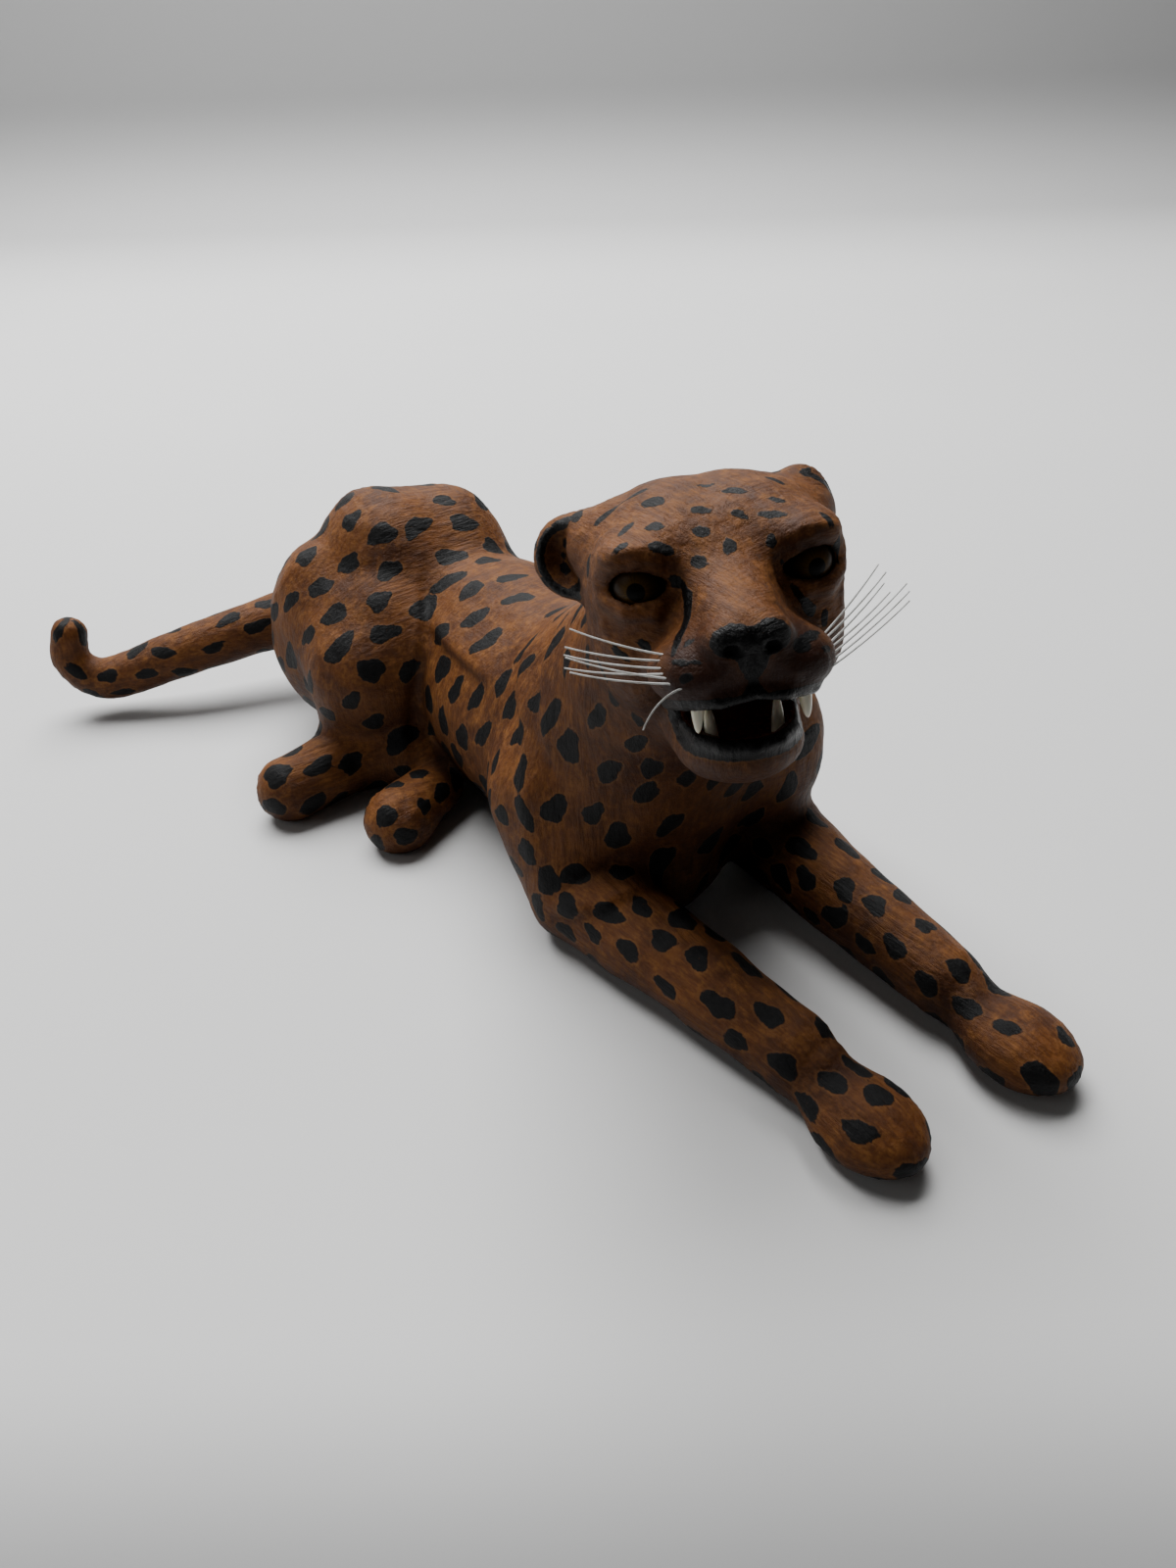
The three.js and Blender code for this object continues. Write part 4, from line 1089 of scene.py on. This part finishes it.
WHISKER_SETS = {
    "right": (30.8, [
        {"side": 15.8, "height": -8.4, "reach": 1, "lifts": [12, 5]},
        {"side": 17.4, "height": -10.6, "reach": 1, "lifts": [5, 1]},
        {"side": 17, "height": -12.5, "reach": 1, "lifts": [10, 5, -5]},
    ]),
    "left": (27, [
        {"side": 19.5, "height": -8.2, "reach": 0.9, "lifts": [31, 27]},
        {"side": 20, "height": -10.2, "reach": 0.8, "lifts": [28, 24]},
        {"side": 19.6, "height": -12.6, "reach": 1, "lifts": [25, 24, 23]},
    ]),
}
WHISKER_SPACING, WHISKER_DROP = 0.9, 1  # from root to root along the head, and down within a row
FIRST_SWEEP, SWEEP_STEP = 26, 2  # back from straight sideways, in degrees
LEAST_RISE = 0.42  # off the skin, as the sine of the angle
WHISKER_LENGTH, WHISKER_ROOT, WHISKER_RADIUS = 21, 3, 0.25
CURL = 0.12  # rise of the tip, as a share of the length
CURLED_WHISKER = "whisker_right_7"  # broken short, and hangs
CURLED_REACH, CURLED_DROP = 0.4, -0.9
WHISKER_STEPS, WHISKER_SEGMENTS = 24, 12


def nylon():
    s = Shader("nylon")
    cloud = s.noise(0.003, detail=2)
    base = s.mix(s.range(cloud, 0.35, 0.7), colour(226, 226, 222), colour(196, 194, 188))
    s.set(Base_Color=base, Roughness=0.28, Transmission_Weight=0.35, IOR=1.5,
          Normal=s.bump(cloud, 0.00005, 0.3))
    return s.material


def whole_face(q):
    return face(mirrored(q))


def out_of_skin(start, way):
    """The point where a line through the whisker pad comes out of the skin, on the head's axes."""
    place = start - way * 6
    for _ in range(200):
        if whole_face(place[None])[0] >= 0:
            break
        place = place + way * REAL(0.1)
    return place


clear_nylon = nylon()
for side_name, side in SIDES:
    first, rows = WHISKER_SETS[side_name]
    hairs = [(row, lift, place) for row in rows for place, lift in enumerate(row["lifts"])]
    for n, (row, lift, place) in enumerate(hairs):
        name = f"whisker_{side_name}_{n + 1}"
        sweep, rise = math.radians(FIRST_SWEEP - SWEEP_STEP * n), math.radians(lift)
        way = vec(-math.sin(sweep) * math.cos(rise), side * math.cos(sweep) * math.cos(rise),
                  math.sin(rise))
        start = vec(first + WHISKER_SPACING * n, side * row["side"],
                    row["height"] - WHISKER_DROP * place)
        skin_normal = unit(slope(whole_face, out_of_skin(start, way)[None]))[0]
        way = unit((way + skin_normal * max(LEAST_RISE - float(way @ skin_normal), 0))[None])[0]
        root = out_of_skin(start, way)
        curled = name == CURLED_WHISKER
        reach = WHISKER_LENGTH * (CURLED_REACH if curled else row["reach"])
        tip = root + way * reach + vec(0, 0, reach * (CURLED_DROP if curled else CURL))
        ends = (root - way * WHISKER_ROOT, root + way * reach / 2, tip)
        shares_along = [k / WHISKER_STEPS for k in range(WHISKER_STEPS + 1)]
        line = [ends[0] * (1 - t) ** 2 + ends[1] * 2 * t * (1 - t) + ends[2] * t * t
                for t in shares_along]
        centres = [from_head(place[None])[0].tolist() for place in line]
        radii = [WHISKER_RADIUS * (1 - 0.3 * t) for t in shares_along]
        shape = tube(centres, radii, WHISKER_SEGMENTS)
        hair = polygon_mesh(f"{name}_hair", *shape, clear_nylon)
        ride(hair, name)

# Camera: the photo's place and angle

CAMERA_TARGET = (-10, -27, 28)
CAMERA_DISTANCE = 373
CAMERA_AZIMUTH, CAMERA_ELEVATION, CAMERA_ROLL = map(math.radians, (-34.2, 33.9, -1.8))
FOCAL_PIXELS = 1154
FRAME_PIXELS = 1600
SENSOR = 36
CLIP = (0.01, 20)

back = Vector((math.sin(CAMERA_AZIMUTH) * math.cos(CAMERA_ELEVATION),
               -math.cos(CAMERA_AZIMUTH) * math.cos(CAMERA_ELEVATION), math.sin(CAMERA_ELEVATION)))
level = Vector((math.cos(CAMERA_AZIMUTH), math.sin(CAMERA_AZIMUTH), 0))
rise = back.cross(level)
right = level * math.cos(CAMERA_ROLL) + rise * math.sin(CAMERA_ROLL)
up = rise * math.cos(CAMERA_ROLL) - level * math.sin(CAMERA_ROLL)
lens = bpy.data.cameras.new("camera")
lens.sensor_width = SENSOR
lens.lens = SENSOR * FOCAL_PIXELS / FRAME_PIXELS
lens.clip_start, lens.clip_end = CLIP
camera = bpy.data.objects.new("camera", lens)
place = (Vector(CAMERA_TARGET) + back * CAMERA_DISTANCE) * MM
camera.matrix_world = Matrix.Translation(place) @ Matrix((right, up, back)).transposed().to_4x4()
bpy.context.scene.collection.objects.link(camera)
bpy.context.scene.camera = camera

# Studio: a pale floor that sweeps up into a wall, lit softly from above

WALL_DISTANCE = 1960
SWEEP_RADIUS = 160
STUDIO_HALF_WIDTH = 3000
FLOOR_FRONT = -1500
WALL_HEIGHT = 2600
SWEEP_STEPS = 16

# The paper is painted darker below the camera, towards the wall and up the wall, as painted shade; all in
# metres.
FRONT_EDGE, FRONT_FADE = 0.14, 0.06
BACK_FADE = (0.95, 1.75)
WALL_FADE = (0.0, 0.15)
PAPER, BRIGHT_PAPER = colour(216, 216, 216), colour(224, 224, 223)
SHADED_FRONT_PAPER, SHADED_BACK_PAPER, SHADED_WALL_PAPER = colour(146, 146, 146), colour(186, 186, 186), colour(158, 158, 158)


def studio():
    s = Shader("studio_paper")
    base = s.mix(s.noise(0.4, detail=2), PAPER, BRIGHT_PAPER)
    x, y, height = s.axes(s.place())
    depth = s.math("MULTIPLY_ADD", x, -back.x, s.math("MULTIPLY", y, -back.y))
    depth = s.math("DIVIDE", depth, math.hypot(back.x, back.y))
    # Painted shade: darker paper at the front edge below the camera, towards the wall and up the wall
    near_edge = -math.hypot(place.x, place.y) + FRONT_EDGE
    base = s.mix(s.range(depth, near_edge - FRONT_FADE, near_edge), SHADED_FRONT_PAPER, base)
    base = s.mix(s.range(depth, *BACK_FADE), base, SHADED_BACK_PAPER)
    base = s.mix(s.range(height, *WALL_FADE), base, SHADED_WALL_PAPER)
    s.set(Base_Color=base, Roughness=0.7, Normal=s.bump(s.noise(0.004, detail=3), 0.00005, 0.15),
          Specular_IOR_Level=0.25)
    profile = [(FLOOR_FRONT, 0)]
    for n in range(SWEEP_STEPS + 1):
        around = math.pi / 2 * n / SWEEP_STEPS
        profile.append((WALL_DISTANCE - SWEEP_RADIUS * (1 - math.sin(around)),
                        SWEEP_RADIUS * (1 - math.cos(around))))
    profile.append((WALL_DISTANCE, WALL_HEIGHT))
    away = Vector((-back.x, -back.y, 0)).normalized()
    start = Vector((place.x, place.y, 0)) / MM
    verts = []
    for distance, z in profile:
        for across_by in (-STUDIO_HALF_WIDTH, STUDIO_HALF_WIDTH):
            verts.append(start + away * distance + level * across_by + Vector((0, 0, z)))
    polygons = [(2 * n, 2 * n + 1, 2 * n + 3, 2 * n + 2) for n in range(len(profile) - 1)]
    return polygon_mesh("studio_floor", verts, polygons, s.material)


studio()


def area_light(name, where, target, size, power):
    data = bpy.data.lights.new(name, "AREA")
    data.shape = "RECTANGLE"
    data.size, data.size_y = size
    data.energy = power
    light = bpy.data.objects.new(name, data)
    ahead = Vector(target) - Vector(where)
    turned = ahead.to_track_quat("-Z", "Y").to_matrix().to_4x4()
    light.matrix_world = Matrix.Translation(Vector(where)) @ turned
    bpy.context.scene.collection.objects.link(light)


area_light("overhead", (0.2, 0.95, 1.55), (0.05, 0.3, 0), (1.7, 1.5), 82)
area_light("side_fill", (-1.4, 0.3, 0.8), (0, 0, 0.05), (0.9, 0.9), 2)
ROOM_LIGHT = 0.03

world = bpy.data.worlds.new("studio")
world.use_nodes = True
background = world.node_tree.nodes["Background"].inputs
background["Color"].default_value = (1, 1, 1, 1)
background["Strength"].default_value = ROOM_LIGHT
bpy.context.scene.world = world
